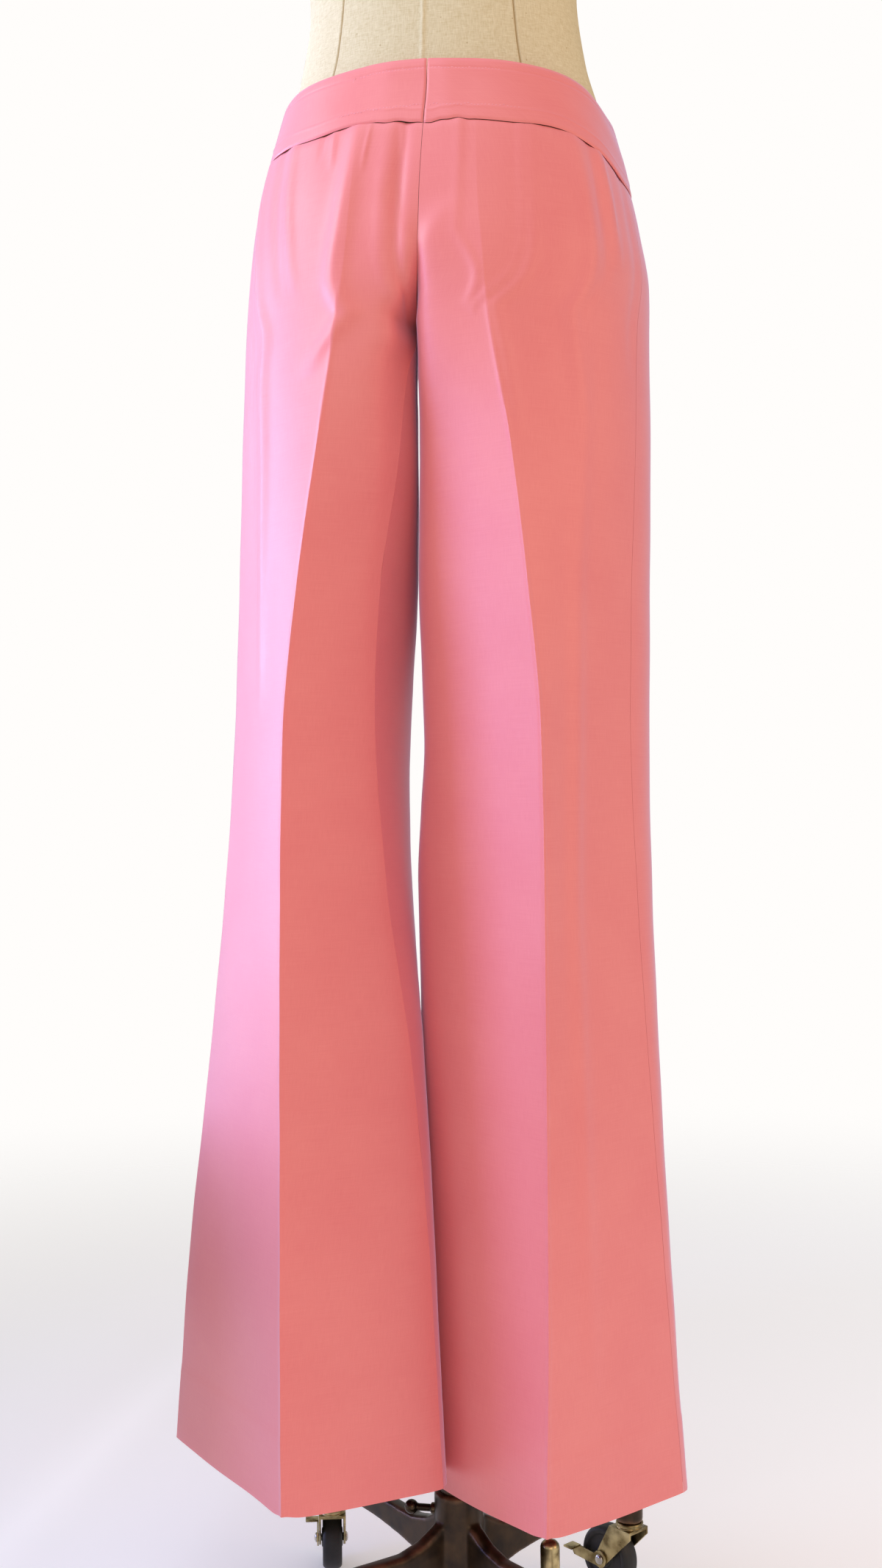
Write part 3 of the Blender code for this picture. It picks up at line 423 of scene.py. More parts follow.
def folded(grid, leg, panel):
    """The grid with its folds raised, its crease pinched and its hem a little thicker."""
    rough_way = (-0.3 if leg == "left" else 0.3, -1 if panel == "back" else 1, 0)
    normal = grid_normals(grid, rough_way)
    along, z = along_rows(grid), grid[..., 2]
    raised = np.zeros(z.shape)
    for u_top, u_low, bow, z_top, z_low, proud, half_wide in FOLDS[leg, panel]:
        down = np.clip((z_top - z) / (z_top - z_low), 0, 1)
        u = u_top + (u_low - u_top) * down**bow
        where = u * along[:, -1:]
        fade = np.sin(pi * np.clip(down * 0.93 + 0.07, 0, 1)) ** 0.6
        raised += fade * ridge(along - where, proud * 0.001, half_wide * 0.001)
    # Hanging cloth is never quite flat: long shallow waves, a quarter of a millimetre deep.
    raised += 0.00025 * np.sin(47 * z + 19 * along) * np.sin(31 * along - 23 * z + 1)
    # The seam pulls the top edge in, and the turned-up hem ends in a soft step.
    raised += ridge(z - z[0], -0.0008, 0.0022)
    raised += 0.00035 / (1 + np.exp((z - HEM_Z[leg] - HEM_STEP) / 0.0012))
    middle = along[:, [len(PANEL_U) // 2]]
    # The hem's corner is soft, and its edge waves by a millimetre.
    lift = ridge(along - middle, 0.0024, 0.010) + 0.0008 * np.sin(38 * along + 2)
    grid = grid.copy()
    grid[..., 2] += lift * np.clip(1 - (z - HEM_Z[leg]) / 0.02, 0, 1)
    # The crease is pinched from the crotch down.
    pressed = np.clip((CROTCH_Z + 0.01 - z) / 0.08, 0, 1)
    raised += pressed * ridge(along - middle, 0.0006, 0.0022)
    return grid + normal * raised[..., None], along, normal[-1, 0]


# %% [markdown]
# ## Cloth pieces
#
# Each panel starts as a flat bmesh grid, which is then laid on the fine surface. Its UV map is in
# metres along the cloth, so the weave keeps its true size on every panel. A Solidify modifier gives
# the cloth its thickness, inward from the outer face, and thins it at the seams.

# %% Make the panels
CLOTH = 0.0012
SEAM_WALL, SEAM_TURN = 0.12, 0.003  # the wall's share left at a seam, and how wide it thins
clothes = []


def link(bm, name, smooth_under=None):
    mesh = bpy.data.meshes.new(name)
    bm.to_mesh(mesh)
    bm.free()
    piece = bpy.data.objects.new(name, mesh)
    bpy.context.scene.collection.objects.link(piece)
    if smooth_under is not None:
        mesh.shade_smooth()
        mesh.set_sharp_from_angle(angle=radians(smooth_under))
    return piece


def cloth_sheet(grid, along, out, name):
    """A flat grid laid on a grid of places, with a wall on the side away from out, which is the way
    out at its first corner. Its UV map is in metres along and up the cloth."""
    rows, columns = grid.shape[0] - 1, grid.shape[1] - 1
    bm = bmesh.new()
    bmesh.ops.create_grid(bm, x_segments=columns, y_segments=rows, size=0.5)
    uv = bm.loops.layers.uv.new("cloth_metres")
    spot = {v: (round((0.5 - v.co.y) * rows), round((v.co.x + 0.5) * columns)) for v in bm.verts}
    for face in bm.faces:
        for loop in face.loops:
            i, j = spot[loop.vert]
            loop[uv].uv = (along[i, j], grid[i, j, 2])
    for v, (i, j) in spot.items():
        v.co = grid[i, j]
    bm.verts.index_update()
    from_seams = {
        v.index: min(along[i, j], along[i, -1] - along[i, j]) for v, (i, j) in spot.items()
    }
    piece = link(bm, name, 60)
    if piece.data.polygons[0].normal.dot(Vector(out)) < 0:
        piece.data.flip_normals()
    # The outer edges are marked sharp, or the wall's rim would bend the shading along each seam.
    mesh = piece.data
    used = np.bincount([loop.edge_index for loop in mesh.loops], minlength=len(mesh.edges))
    for edge in mesh.edges:
        edge.use_edge_sharp = edge.use_edge_sharp or used[edge.index] == 1
    # The wall thins almost to nothing at a seam, where the cloth turns in.
    group = piece.vertex_groups.new(name="wall")
    for index, from_seam in from_seams.items():
        share = 1 - (1 - SEAM_WALL) * max(0, 1 - from_seam / SEAM_TURN)
        group.add([index], share, "REPLACE")
    wall = piece.modifiers.new("wall", "SOLIDIFY")
    wall.thickness, wall.offset, wall.use_even_offset = CLOTH, -1, True
    wall.vertex_group, wall.material_offset_rim = "wall", 1
    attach(piece, "form")
    return piece


for leg in ("left", "right"):
    for panel in ("back", "front"):
        grid, along, out = folded(panel_grid(leg, panel), leg, panel)
        piece = cloth_sheet(grid, along, out, f"{panel}_{leg}_cloth")
        clothes.append(piece)
        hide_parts(f"{panel}_panel_{leg}")

# %% [markdown]
# ## Waistband
#
# The waistband is one curved strip that stands a little proud of the panels sewn under it. Its top
# edge rolls over a stitched fold, and a second soft ridge runs above the lower seam, where the
# allowance inside shows through.

# %% Make the waistband
BAND_LIFT, BAND_HIGH, BAND_ROUND = 0.0009, 0.056, 0.8
BAND_PIECES = 440
ALLOWANCE = 0.0102  # inside, up from the lower seam


def band_grid(rows=64):
    """The waistband's outer surface from the centre back slit round to the slit again."""
    even = np.linspace(0, 1, BAND_PIECES + 1)
    even = even - 0.75 * np.sin(tau * even) / tau  # closer columns at the slit
    turns = SEAM_GAP / 2 / BAND_ROUND + even * (1 - SEAM_GAP / BAND_ROUND)
    down = np.linspace(0, 1, rows + 1)[:, None]
    grid = np.empty((rows + 1, len(turns), 3))
    for quarter, (leg, panel) in enumerate(
        (("left", "back"), ("left", "front"), ("right", "front"), ("right", "back"))
    ):
        mine = np.clip((turns * 4).astype(int), 0, 3) == quarter
        part = turns[mine] * 4 - quarter
        outlines = level_outlines(leg, panel, 1 - part if quarter in (0, 2) else part)
        top, low = eased(BAND_TOP, turns[mine])[:, 0], seam_height(turns[mine])
        grid[:, mine] = on_outlines(outlines, top + (low - top) * down)
    return grid


band = band_grid()
band_out = grid_normals(band, band * (1, 1, 0) - (POLE_X, 0, 0))
band_along = along_rows(band)
from_slit = np.minimum(band_along, band_along[:, -1:] - band_along)
band_down = np.linspace(0, 1, len(band))[:, None] * (band[:1, :, 2] - band[-1:, :, 2])
band_up = (band[:1, :, 2] - band[-1:, :, 2]) - band_down
lip = 0.0080 + 0.0025 * np.sin(pi * np.clip(band_along / band_along[:, -1:], 0, 1)) ** 2
profile = (
    BAND_LIFT
    + ridge(band_down, -0.0010, 0.0016)
    - 0.0006 * np.clip(1 - band_down / lip, 0, 1)
    + ridge(band_down - lip, -0.0004, 0.0008)
    + ridge(band_up - ALLOWANCE, 0.0003, 0.0010)
    + ridge(band_up, -0.0009, 0.0010)
    + ridge(from_slit, -0.0008, 0.0011)
    + 0.0003 * np.sin(60 * band_along + 90 * band_down) * np.sin(23 * band_along)
)
band_face = band + band_out * profile[..., None]
waistband = cloth_sheet(band_face, band_along, band_out[-1, 0], "waistband_cloth")
clothes.append(waistband)
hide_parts("waistband")
print("waistband", round(float(band_along[-1, -1]), 3), "m round its lower seam")

# %% Pick stitches and a loose thread
# Each row of stitches: its side of the slit, its start and end from the slit, and how far below the
# top edge it is, in metres.
STITCH_ROWS = (
    ("left", 0.003, 0.056, 0.0085),
    ("right", 0.004, 0.060, 0.0085),
    ("left", 0.003, 0.072, 0.0385),
    ("right", 0.004, 0.072, 0.0385),
)
STITCH_PITCH = 0.0026
STITCH_SIZE = Matrix.Diagonal((0.0008, 0.0003, 0.00028, 1))
THREAD_R = 0.0003


def on_band(side, along, down):
    """A point just on the waistband's face, with the way out and the way along it."""
    along = along if side == "left" else band_along[0, -1] - along
    column = int(np.argmin(abs(band_along[0] - along)))
    row = int(np.argmin(abs(band_down[:, column] - down)))
    beside = band[row, min(column + 1, BAND_PIECES)] - band[row, max(column - 1, 0)]
    return (Vector(v) for v in (
        band_face[row, column], band_out[row, column], beside / np.linalg.norm(beside)
    ))


bm = bmesh.new()
for side, start, end, down in STITCH_ROWS:
    for k in range(int((end - start) / STITCH_PITCH)):
        at = start + k * STITCH_PITCH
        point, out, ahead = on_band(side, at, down + 0.0004 * np.sin(5 * k))
        axes = Matrix((ahead, out.cross(ahead), out)).transposed().to_4x4()
        place = Matrix.Translation(point) @ axes @ STITCH_SIZE
        bmesh.ops.create_icosphere(bm, subdivisions=2, radius=1, matrix=place)
stitches = link(bm, "pick_stitches", 60)
root, out, ahead = on_band("left", 0.0585, 0.0085)
bm = bmesh.new()
rings = []
for t in np.linspace(0, 1, 13):
    centre = root + ahead * (0.0022 * np.sin(2.4 * t)) + Vector((0, 0, -0.0075 * t))
    centre += out * (THREAD_R + 0.0006 * t)
    turns = [tau * k / 8 for k in range(8)]
    ring = [centre + THREAD_R * (ahead * cos(a) + out * sin(a)) for a in turns]
    rings.append([bm.verts.new(point) for point in ring])
for ring, below in zip(rings, rings[1:]):
    for k in range(8):
        bm.faces.new((ring[k - 1], ring[k], below[k], below[k - 1]))
bm.faces.new(rings[0][::-1])
bm.faces.new(rings[-1])
bmesh.ops.recalc_face_normals(bm, faces=bm.faces)
loose_thread = link(bm, "loose_thread", 60)
for piece in (stitches, loose_thread):
    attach(piece, "form")
print("stitches", len(stitches.data.polygons) // 80)

# %% [markdown]
# ## Materials
#
# The cloth is a plain-woven wool and silk suiting. The silk gives it sheen and slubs, which are
# short thick stretches of the crosswise thread.

# %% Material helpers
def linear(code):
    """An sRGB hex colour as a linear RGBA tuple."""
    parts = [int(code[k : k + 2], 16) / 255 for k in (1, 3, 5)]
    return (*[p / 12.92 if p <= 0.04045 else ((p + 0.055) / 1.055) ** 2.4 for p in parts], 1)


def feed(tree, target, links):
    """Links to target's inputs by name. Each source is a socket, or a node for its first output."""
    for name, source in links:
        socket = source if isinstance(source, bpy.types.NodeSocket) else source.outputs[0]
        tree.links.new(socket, target.inputs[name])


def node(tree, kind, links=(), **settings):
    """Adds a node. A setting named in_X goes to input X, and ramp sets a ramp's two colours."""
    made = tree.nodes.new("ShaderNode" + kind)
    for name, value in settings.items():
        if name.startswith("in_"):
            key = name[3:].replace("_", " ")
            made.inputs[int(key) if key.isdigit() else key].default_value = value
        elif name == "ramp":
            for stop, code in zip(made.color_ramp.elements, value):
                stop.color = linear(code)
        else:
            setattr(made, name, value)
    feed(tree, made, links)
    return made


def new_material(name, **sockets):
    """A Principled material, its tree and its shader node."""
    material = bpy.data.materials.new(name)
    material.use_nodes = True
    tree = material.node_tree
    shader = tree.nodes["Principled BSDF"]
    for key, value in sockets.items():
        shader.inputs[key.replace("_", " ")].default_value = value
    return material, tree, shader


def finish(pieces, *materials):
    """Gives every piece the materials, in place of what it had."""
    for piece in pieces:
        piece.data.materials.clear()
        for material in materials:
            piece.data.materials.append(material)


# %% Pink suiting
suiting, tree, shader = new_material(
    "pink_slubbed_suiting",
    Roughness=0.46,
    Sheen_Weight=0.80,
    Sheen_Roughness=0.40,
    Sheen_Tint=linear("#E2D8FF"),
    Specular_IOR_Level=0.50,
)
metres = node(tree, "TexCoord").outputs["UV"]
# Crosswise slubs: noise stretched to 30 mm by 0.5 mm.
slub_place = node(tree, "Mapping", [("Vector", metres)], in_Scale=(33, 1900, 1))
slubs = node(tree, "TexNoise", [("Vector", slub_place)], in_Scale=1.0, in_Detail=3.0)
# Lengthwise threads: noise stretched to 0.6 mm by 12 mm.
warp_place = node(tree, "Mapping", [("Vector", metres)], in_Scale=(1700, 80, 1))
warp = node(tree, "TexNoise", [("Vector", warp_place)], in_Scale=1.0, in_Detail=2.0)
# The weave itself is 0.5 mm, drawn at 1.1 mm so that it shows.
weave_place = node(tree, "Mapping", [("Vector", metres)], in_Scale=(900, 900, 1))
weave = node(tree, "TexChecker", [("Vector", weave_place)], in_Scale=1.0).outputs["Fac"]
threads = node(tree, "Math", [(0, slubs), (1, warp)], operation="ADD")
cloudy = node(tree, "TexNoise", [("Vector", metres)], in_Scale=14.0, in_Detail=2.0)
shade = node(tree, "Math", [(0, threads), (1, cloudy)], operation="ADD")
evened = node(tree, "MapRange", [("Value", shade)], in_From_Min=1.0, in_From_Max=2.0)
tint = node(tree, "ValToRGB", [("Fac", evened)], ramp=("#E57A78", "#EC8882"))
lumps = node(tree, "Math", [(0, threads), (1, weave)], operation="ADD")
bump = node(tree, "Bump", [("Height", lumps)], in_Strength=0.06, in_Distance=0.0003)
feed(tree, shader, [("Base Color", tint), ("Normal", bump)])
# Where the cloth turns in at a seam its nap is pressed flat, so it has no sheen.
turned_edge = suiting.copy()
turned_edge.name = "pink_suiting_turned_edge"
pressed_nap = turned_edge.node_tree.nodes["Principled BSDF"].inputs
pressed_nap["Sheen Weight"].default_value = 0.0
pressed_nap["Specular IOR Level"].default_value = 0.1
finish(clothes, suiting, turned_edge)

# %% Sewing thread
# Silk sewing thread is a shade paler than the cloth, and its twist is 0.4 mm long.
silk_thread, tree, shader = new_material(
    "pale_pink_silk_thread", Roughness=0.40, Sheen_Weight=0.6, Sheen_Tint=linear("#FFF0F4")
)
twist_at = node(tree, "TexCoord").outputs["Object"]
twist = node(tree, "TexNoise", [("Vector", twist_at)], in_Scale=2500.0)
tint = node(tree, "ValToRGB", [("Fac", twist)], ramp=("#E8888C", "#F7A9AC"))
feed(tree, shader, [("Base Color", tint)])
finish((stitches, loose_thread), silk_thread)

# %% [markdown]
# ## Dress form
#
# A dress form is a padded shell under a stretched canvas cover, with a seam down each princess
# line. The fine body is lofted from 190 rings, on the same sections as the CAD solid.

# %% Dress form
FORM_POWER = 2.05
FORM = (  # z, middle x, half width, depth behind, depth in front
    (1.102, -0.006, 0.112, 0.056, 0.060),
    (1.1045, -0.006, 0.136, 0.074, 0.078),
    (1.112, -0.006, 0.148, 0.086, 0.089),
    (1.126, -0.006, 0.153, 0.095, 0.096),
    (1.150, -0.006, 0.153, 0.101, 0.0995),
    (1.180, -0.005, 0.150, 0.102, 0.099),
    (1.220, -0.005, 0.1412, 0.097, 0.096),
    (1.260, -0.0035, 0.1299, 0.090, 0.0905),
    (1.300, -0.0025, 0.1175, 0.0835, 0.0855),
    (1.355, -0.002, 0.110, 0.081, 0.085),
    (1.400, -0.002, 0.1125, 0.085, 0.087),
    (1.450, -0.003, 0.122, 0.091, 0.097),
    (1.500, -0.003, 0.133, 0.096, 0.114),
    (1.545, -0.003, 0.142, 0.099, 0.125),
    (1.590, -0.003, 0.148, 0.101, 0.119),
    (1.630, -0.003, 0.156, 0.101, 0.099),
    (1.660, -0.003, 0.163, 0.096, 0.080),
    (1.685, -0.003, 0.162, 0.086, 0.065),
    (1.705, -0.003, 0.140, 0.074, 0.055),
    (1.720, -0.003, 0.106, 0.064, 0.050),
    (1.733, -0.003, 0.076, 0.057, 0.048),
    (1.748, -0.003, 0.060, 0.053, 0.048),
    (1.770, -0.003, 0.054, 0.050, 0.048),
    (1.798, -0.003, 0.0525, 0.049, 0.048),
)
FORM_RINGS = 190
CENTRE_BACK = 270
# Degrees round the form: both princess seams behind and in front, the sides, the centre front.
FORM_SEAMS = (CENTRE_BACK - 37, CENTRE_BACK + 37, 53, 127, 0.01, 180, 90)


def form_angles():
    """Angles in degrees, crowded round each seam so that its groove can be narrow."""
    near = np.array((-2.4, -1.6, -1.1, -0.75, -0.45, -0.2, 0, 0.2, 0.45, 0.75, 1.1, 1.6, 2.4))
    crowds = [seam + near for seam in (CENTRE_BACK, *FORM_SEAMS)]
    even = [a for a in np.arange(0, 360, 2.5) if min(abs(c[6] - a) for c in crowds) > 2.6]
    return np.radians(np.sort(np.concatenate([even, *crowds]) % 360))


def form_sections():
    """The form's rings from its underside up, and how near each point is to a seam."""
    heights = np.array([r[0] for r in FORM])
    z = np.interp(np.linspace(0, len(FORM) - 1, FORM_RINGS), np.arange(len(FORM)), heights)
    middle_x, half_width, back, front = eased(FORM, z).T
    angle = form_angles()
    c, s = np.cos(angle), np.sin(angle)
    x = half_width[:, None] * (np.abs(c) ** (2 / FORM_POWER) * np.sign(c))[None, :]
    depth = np.where(s > 0, front[:, None], back[:, None])
    y = depth * (np.abs(s) ** (2 / FORM_POWER) * np.sign(s))[None, :]
    reach = np.hypot(x, y)
    raised, seam_line = np.zeros(reach.shape), np.zeros(reach.shape)
    for seam in (CENTRE_BACK, *FORM_SEAMS):
        apart = np.abs((angle - radians(seam) + pi) % tau - pi)[None, :] * reach
        if seam == CENTRE_BACK:
            raised += ridge(apart, 0.0009, 0.0011)
        else:
            raised += ridge(apart, 0.0003, 0.003) + ridge(apart, -0.0011, 0.0007)
            seam_line += ridge(apart, 1, 0.0006)
    # The stretched cover ripples a little.
    raised += 0.0002 * np.sin(70 * z[:, None] + 5 * angle) * np.sin(9 * angle + 31 * z[:, None])
    inside = np.clip((z - FORM[3][0]) / 0.02, 0, 1)[:, None]
    swell = 1 + raised * inside / reach
    rings = np.stack([x * swell + middle_x[:, None] + POLE_X, y * swell, 0 * x + z[:, None]], 2)
    return rings, seam_line


rings, seam_line = form_sections()
bm = bmesh.new()
last = None
for ring in rings:
    verts = [bm.verts.new(p) for p in ring]
    edges = [bm.edges.new((verts[k - 1], verts[k])) for k in range(len(verts))]
    if last is None:
        bm.faces.new(verts)
    else:
        bmesh.ops.bridge_loops(bm, edges=last + edges)
    last = edges
bm.faces.new(verts)
bmesh.ops.recalc_face_normals(bm, faces=bm.faces)
form_cover = link(bm, "form_cover", 50)
stain = form_cover.data.attributes.new("seam_line", "FLOAT", "POINT")
stain.data.foreach_set("value", seam_line.ravel())
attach(form_cover, "form")
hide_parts("dress_form")
print("form cover", len(form_cover.data.polygons), "faces")

# %% Linen canvas
canvas, tree, shader = new_material("linen_canvas", Roughness=0.9, Specular_IOR_Level=0.2)
spot = node(tree, "TexCoord").outputs["Object"]
# Crosswise threads: noise stretched to 5.5 mm by 0.7 mm. Lengthwise: 0.8 mm by 6 mm.
weft_place = node(tree, "Mapping", [("Vector", spot)], in_Scale=(180, 180, 1500))
weft = node(tree, "TexNoise", [("Vector", weft_place)], in_Scale=1.0, in_Detail=2.0)
warp_place = node(tree, "Mapping", [("Vector", spot)], in_Scale=(1300, 1300, 160))
warp = node(tree, "TexNoise", [("Vector", warp_place)], in_Scale=1.0, in_Detail=2.0)
both = node(tree, "Math", [(0, weft), (1, warp)], operation="ADD")
evened = node(tree, "MapRange", [("Value", both)], in_From_Min=0.6, in_From_Max=1.4)
tint = node(tree, "ValToRGB", [("Fac", evened)], ramp=("#C9B88E", "#E2D6B2"))
# Specks of seed husk, 1 mm across and 12 mm apart.
husks = node(tree, "TexVoronoi", [("Vector", spot)], in_Scale=85.0).outputs["Distance"]
speck = node(
    tree, "MapRange", [("Value", husks)],
    in_From_Min=0.03, in_From_Max=0.07, in_To_Min=0.75, in_To_Max=0.0,
)
seam = node(tree, "Attribute", attribute_name="seam_line").outputs["Fac"]
browner = node(tree, "Math", [(0, speck), (1, seam)], operation="MAXIMUM")
stained = node(
    tree, "Mix", [("Factor", browner), ("A", tint)], data_type="RGBA", in_B=linear("#A98F62")
).outputs["Result"]
bump = node(tree, "Bump", [("Height", both)], in_Strength=0.3, in_Distance=0.0006)
feed(tree, shader, [("Base Color", stained), ("Normal", bump)])
finish([form_cover], canvas)

# %% [markdown]
# ## Stand
#
# The base is one iron casting under dark bronze paint. Its hub and arms come from the CAD. A fine
# voxel remesh and smoothing melt them together, as a casting's fillets do, and the bores are then
# cut again for the tube and the swivels.

# %% Base casting
FOOT_REACH = 0.190  # from the pole to a caster's swivel
FOOT_TURNS = (48, 138, 228, 318)  # degrees round from +X
TRAIL_TURNS = (143, 105, 195, 345)
TRAIL = 0.0240  # from the swivel back to the axle
WHEEL_R = 0.0275
COLUMN_R, TUBE_HOLE_R = 0.0204, 0.0163
BOSS_R, PIN_HOLE_R = 0.0060, 0.0048


def rounded(corners, radius, steps=4):
    """A profile whose inner corners are replaced by small arcs."""
    points = [Vector(corners[0])]
    for before, here, after in zip(corners, corners[1:], corners[2:]):
        here = Vector(here)
        back, ahead = Vector(before) - here, Vector(after) - here
        cut = min(radius, 0.49 * back.length, 0.49 * ahead.length)
        start, end = here + cut * back.normalized(), here + cut * ahead.normalized()
        for k in range(steps + 1):
            t = k / steps
            points.append((1 - t) ** 2 * start + 2 * t * (1 - t) * here + t * t * end)
    return [tuple(p) for p in (*points, Vector(corners[-1]))]


def lathe(profile, sides):
    """A solid turned about Z from (radius, z) points in order round its outline."""
    bm = bmesh.new()
    verts = [bm.verts.new((r, 0, z)) for r, z in profile]
    edges = [bm.edges.new((verts[k], verts[k + 1])) for k in range(len(verts) - 1)]
    if profile[0][0] > 0:
        edges.append(bm.edges.new((verts[-1], verts[0])))
    whole_turn = {"cent": (0, 0, 0), "axis": (0, 0, 1), "angle": tau, "use_merge": True}
    bmesh.ops.spin(bm, geom=verts + edges, steps=sides, **whole_turn)
    bmesh.ops.remove_doubles(bm, verts=bm.verts, dist=1e-6)
    bmesh.ops.recalc_face_normals(bm, faces=bm.faces)
    return bm


def moved(bm, matrix):
    bmesh.ops.transform(bm, matrix=matrix, verts=bm.verts)
    return bm


def gathered(parts):
    """Several bmeshes as one, each still a closed shell of its own."""
    whole = bmesh.new()
    for part in parts:
        mesh = bpy.data.meshes.new("part")
        part.to_mesh(mesh)
        part.free()
        whole.from_mesh(mesh)
        bpy.data.meshes.remove(mesh)
    return whole


def copied(*names):
    """The named CAD nodes' meshes as one bmesh, with their split corners merged."""
    bm = bmesh.new()
    for name in names:
        bm.from_mesh(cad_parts[name].data)
    bmesh.ops.remove_doubles(bm, verts=bm.verts, dist=1e-6)
    return bm


def worked(bm, *steps):
    """The mesh that is left after a list of modifiers, each a type and its settings."""
    source = link(bm, "work")
    for kind, settings in steps:
        modifier = source.modifiers.new(kind.lower(), kind)
        for key, value in settings.items():
            setattr(modifier, key, value)
    evaluated = source.evaluated_get(bpy.context.evaluated_depsgraph_get())
    shape = bpy.data.meshes.new_from_object(evaluated)
    bpy.data.objects.remove(source, do_unlink=True)
    made = bmesh.new()
    made.from_mesh(shape)
    bpy.data.meshes.remove(shape)
    return made


def foot_place(k):
    turn = radians(FOOT_TURNS[k])
    return Matrix.Translation((POLE_X + FOOT_REACH * cos(turn), FOOT_REACH * sin(turn), 0))


def plug(radius, low, high, place):
    """A plain round bar that fills a hole before the remesh, or cuts it again afterwards."""
    return moved(lathe(((0, low), (radius, low), (radius, high), (0, high)), 48), place)


pole_place = Matrix.Translation((POLE_X, 0, 0))
arms = [copied("hub"), *[copied(f"base_leg_{k}") for k in (1, 2, 3, 4)]]
arms.append(plug(COLUMN_R, 0.051, 0.140, pole_place))
arms += [plug(BOSS_R, 0.068, 0.098, foot_place(k)) for k in range(4)]
cast = worked(
    gathered(arms),
    ("REMESH", {"mode": "VOXEL", "voxel_size": 0.0017}),
    ("SMOOTH", {"factor": 0.5, "iterations": 7}),
)
bores = [plug(TUBE_HOLE_R, 0.0620, 0.2, pole_place)]
bores += [plug(PIN_HOLE_R, 0.0, 0.0910, foot_place(k)) for k in range(4)]
cutter = link(gathered(bores), "cutter")
cut = {"operation": "DIFFERENCE", "object": cutter, "solver": "EXACT"}
cast = worked(cast, ("BOOLEAN", cut))
bpy.data.objects.remove(cutter, do_unlink=True)
base_casting = link(cast, "base_casting", 50)
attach(base_casting, "stand")
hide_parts("hub", "base_leg_1", "base_leg_2", "base_leg_3", "base_leg_4")
print("base casting", len(base_casting.data.polygons), "faces")

# %% Tube, lock screw and pedal
tube = moved(lathe(rounded(
    ((0.0103, 0.0623), (0.0160, 0.0623), (0.0160, 0.4000), (0.0103, 0.4000)), 0.001
), 96), pole_place)
outer_tube = link(tube, "tube", 40)
ball = [(0.0058 * sin(radians(a)), 0.0400 - 0.0058 * cos(radians(a))) for a in range(35, 176, 10)]
stem = rounded(((0.0045, 0.0199), (0.0045, 0.0229), (0.0030, 0.0239), (0.0030, 0.0340)), 0.0005)
screw = lathe([(0, 0.0199), *stem, *ball, (0, 0.0458)], 48)
screw_turn = Matrix.Translation((POLE_X, 0, 0.1235)) @ Matrix.Rotation(-pi / 2, 4, "Y")
lock_screw = link(moved(screw, screw_turn), "ball_screw", 40)
SOFT_EDGE = (
    "BEVEL", {"width": 0.0004, "segments": 2, "limit_method": "ANGLE", "angle_limit": radians(30)}
)
ROUNDER = ("SUBSURF", {"levels": 1, "render_levels": 1})
pedal = link(worked(copied("pedal"), SOFT_EDGE), "foot_pedal", 35)
for piece, name, coat in (
    (outer_tube, "outer_tube", "bronze_paint"),
    (lock_screw, "lock_screw", "bright_steel"),
    (pedal, "pedal", "aged_brass"),
):
    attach(piece, "stand")
    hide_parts(name)

# %% [markdown]
# ## Casters
#
# A caster's fork is pressed from sheet and turns on two rings of balls, which show as bright gold
# bands. The wheel is turned from one profile with a crowned tread and a dished side.

# %% Casters
WHEEL_PROFILE = (
    (0.0034, -0.0096), (0.0082, -0.0096), (0.0092, -0.0072), (0.0190, -0.0066), (0.0208, -0.0088),
    (0.0246, -0.0088), (0.0268, -0.0062), (0.0275, 0.0000), (0.0268, 0.0062), (0.0246, 0.0088),
    (0.0208, 0.0088), (0.0190, 0.0066), (0.0092, 0.0072), (0.0082, 0.0096), (0.0034, 0.0096),
)
RACE_PROFILE = (
    (0.0050, 0.0600), (0.0119, 0.0600), (0.0124, 0.0612), (0.0119, 0.0624), (0.0110, 0.0629),
    (0.0119, 0.0634), (0.0123, 0.0645), (0.0116, 0.0655), (0.0050, 0.0657),
)
caster_pieces = {"fork": [], "wheel": [], "axle": [], "lever": []}
for k in range(4):
    trailing = foot_place(k) @ Matrix.Rotation(radians(TRAIL_TURNS[k] - 180), 4, "Z")
    on_axle = trailing @ Matrix.Translation((-TRAIL, 0, WHEEL_R)) @ Matrix.Rotation(pi / 2, 4, "X")
    race = moved(lathe(rounded(RACE_PROFILE, 0.0005), 64), trailing)
    fork = gathered([worked(copied(f"caster_{k + 1}_fork"), SOFT_EDGE), race])
    wheel = moved(lathe(rounded(WHEEL_PROFILE, 0.0012), 96), on_axle)
    axle = worked(copied(f"caster_{k + 1}_axle"), ROUNDER)
    lever = worked(copied(f"caster_{k + 1}_lever"), SOFT_EDGE)
    for kind, shape, body, coat in (
        ("fork", fork, "caster", "aged_brass"),
        ("wheel", wheel, "wheel", "black_rubber"),
        ("axle", axle, "caster", "bright_steel"),
        ("lever", lever, "lever", "aged_brass"),
    ):
        piece = link(shape, f"{kind}_{k + 1}_fine", 40)
        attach(piece, f"{body}_{k + 1}")
        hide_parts(f"caster_{k + 1}_{kind}")
        caster_pieces[kind].append(piece)
print("caster pieces", sum(len(v) for v in caster_pieces.values()))
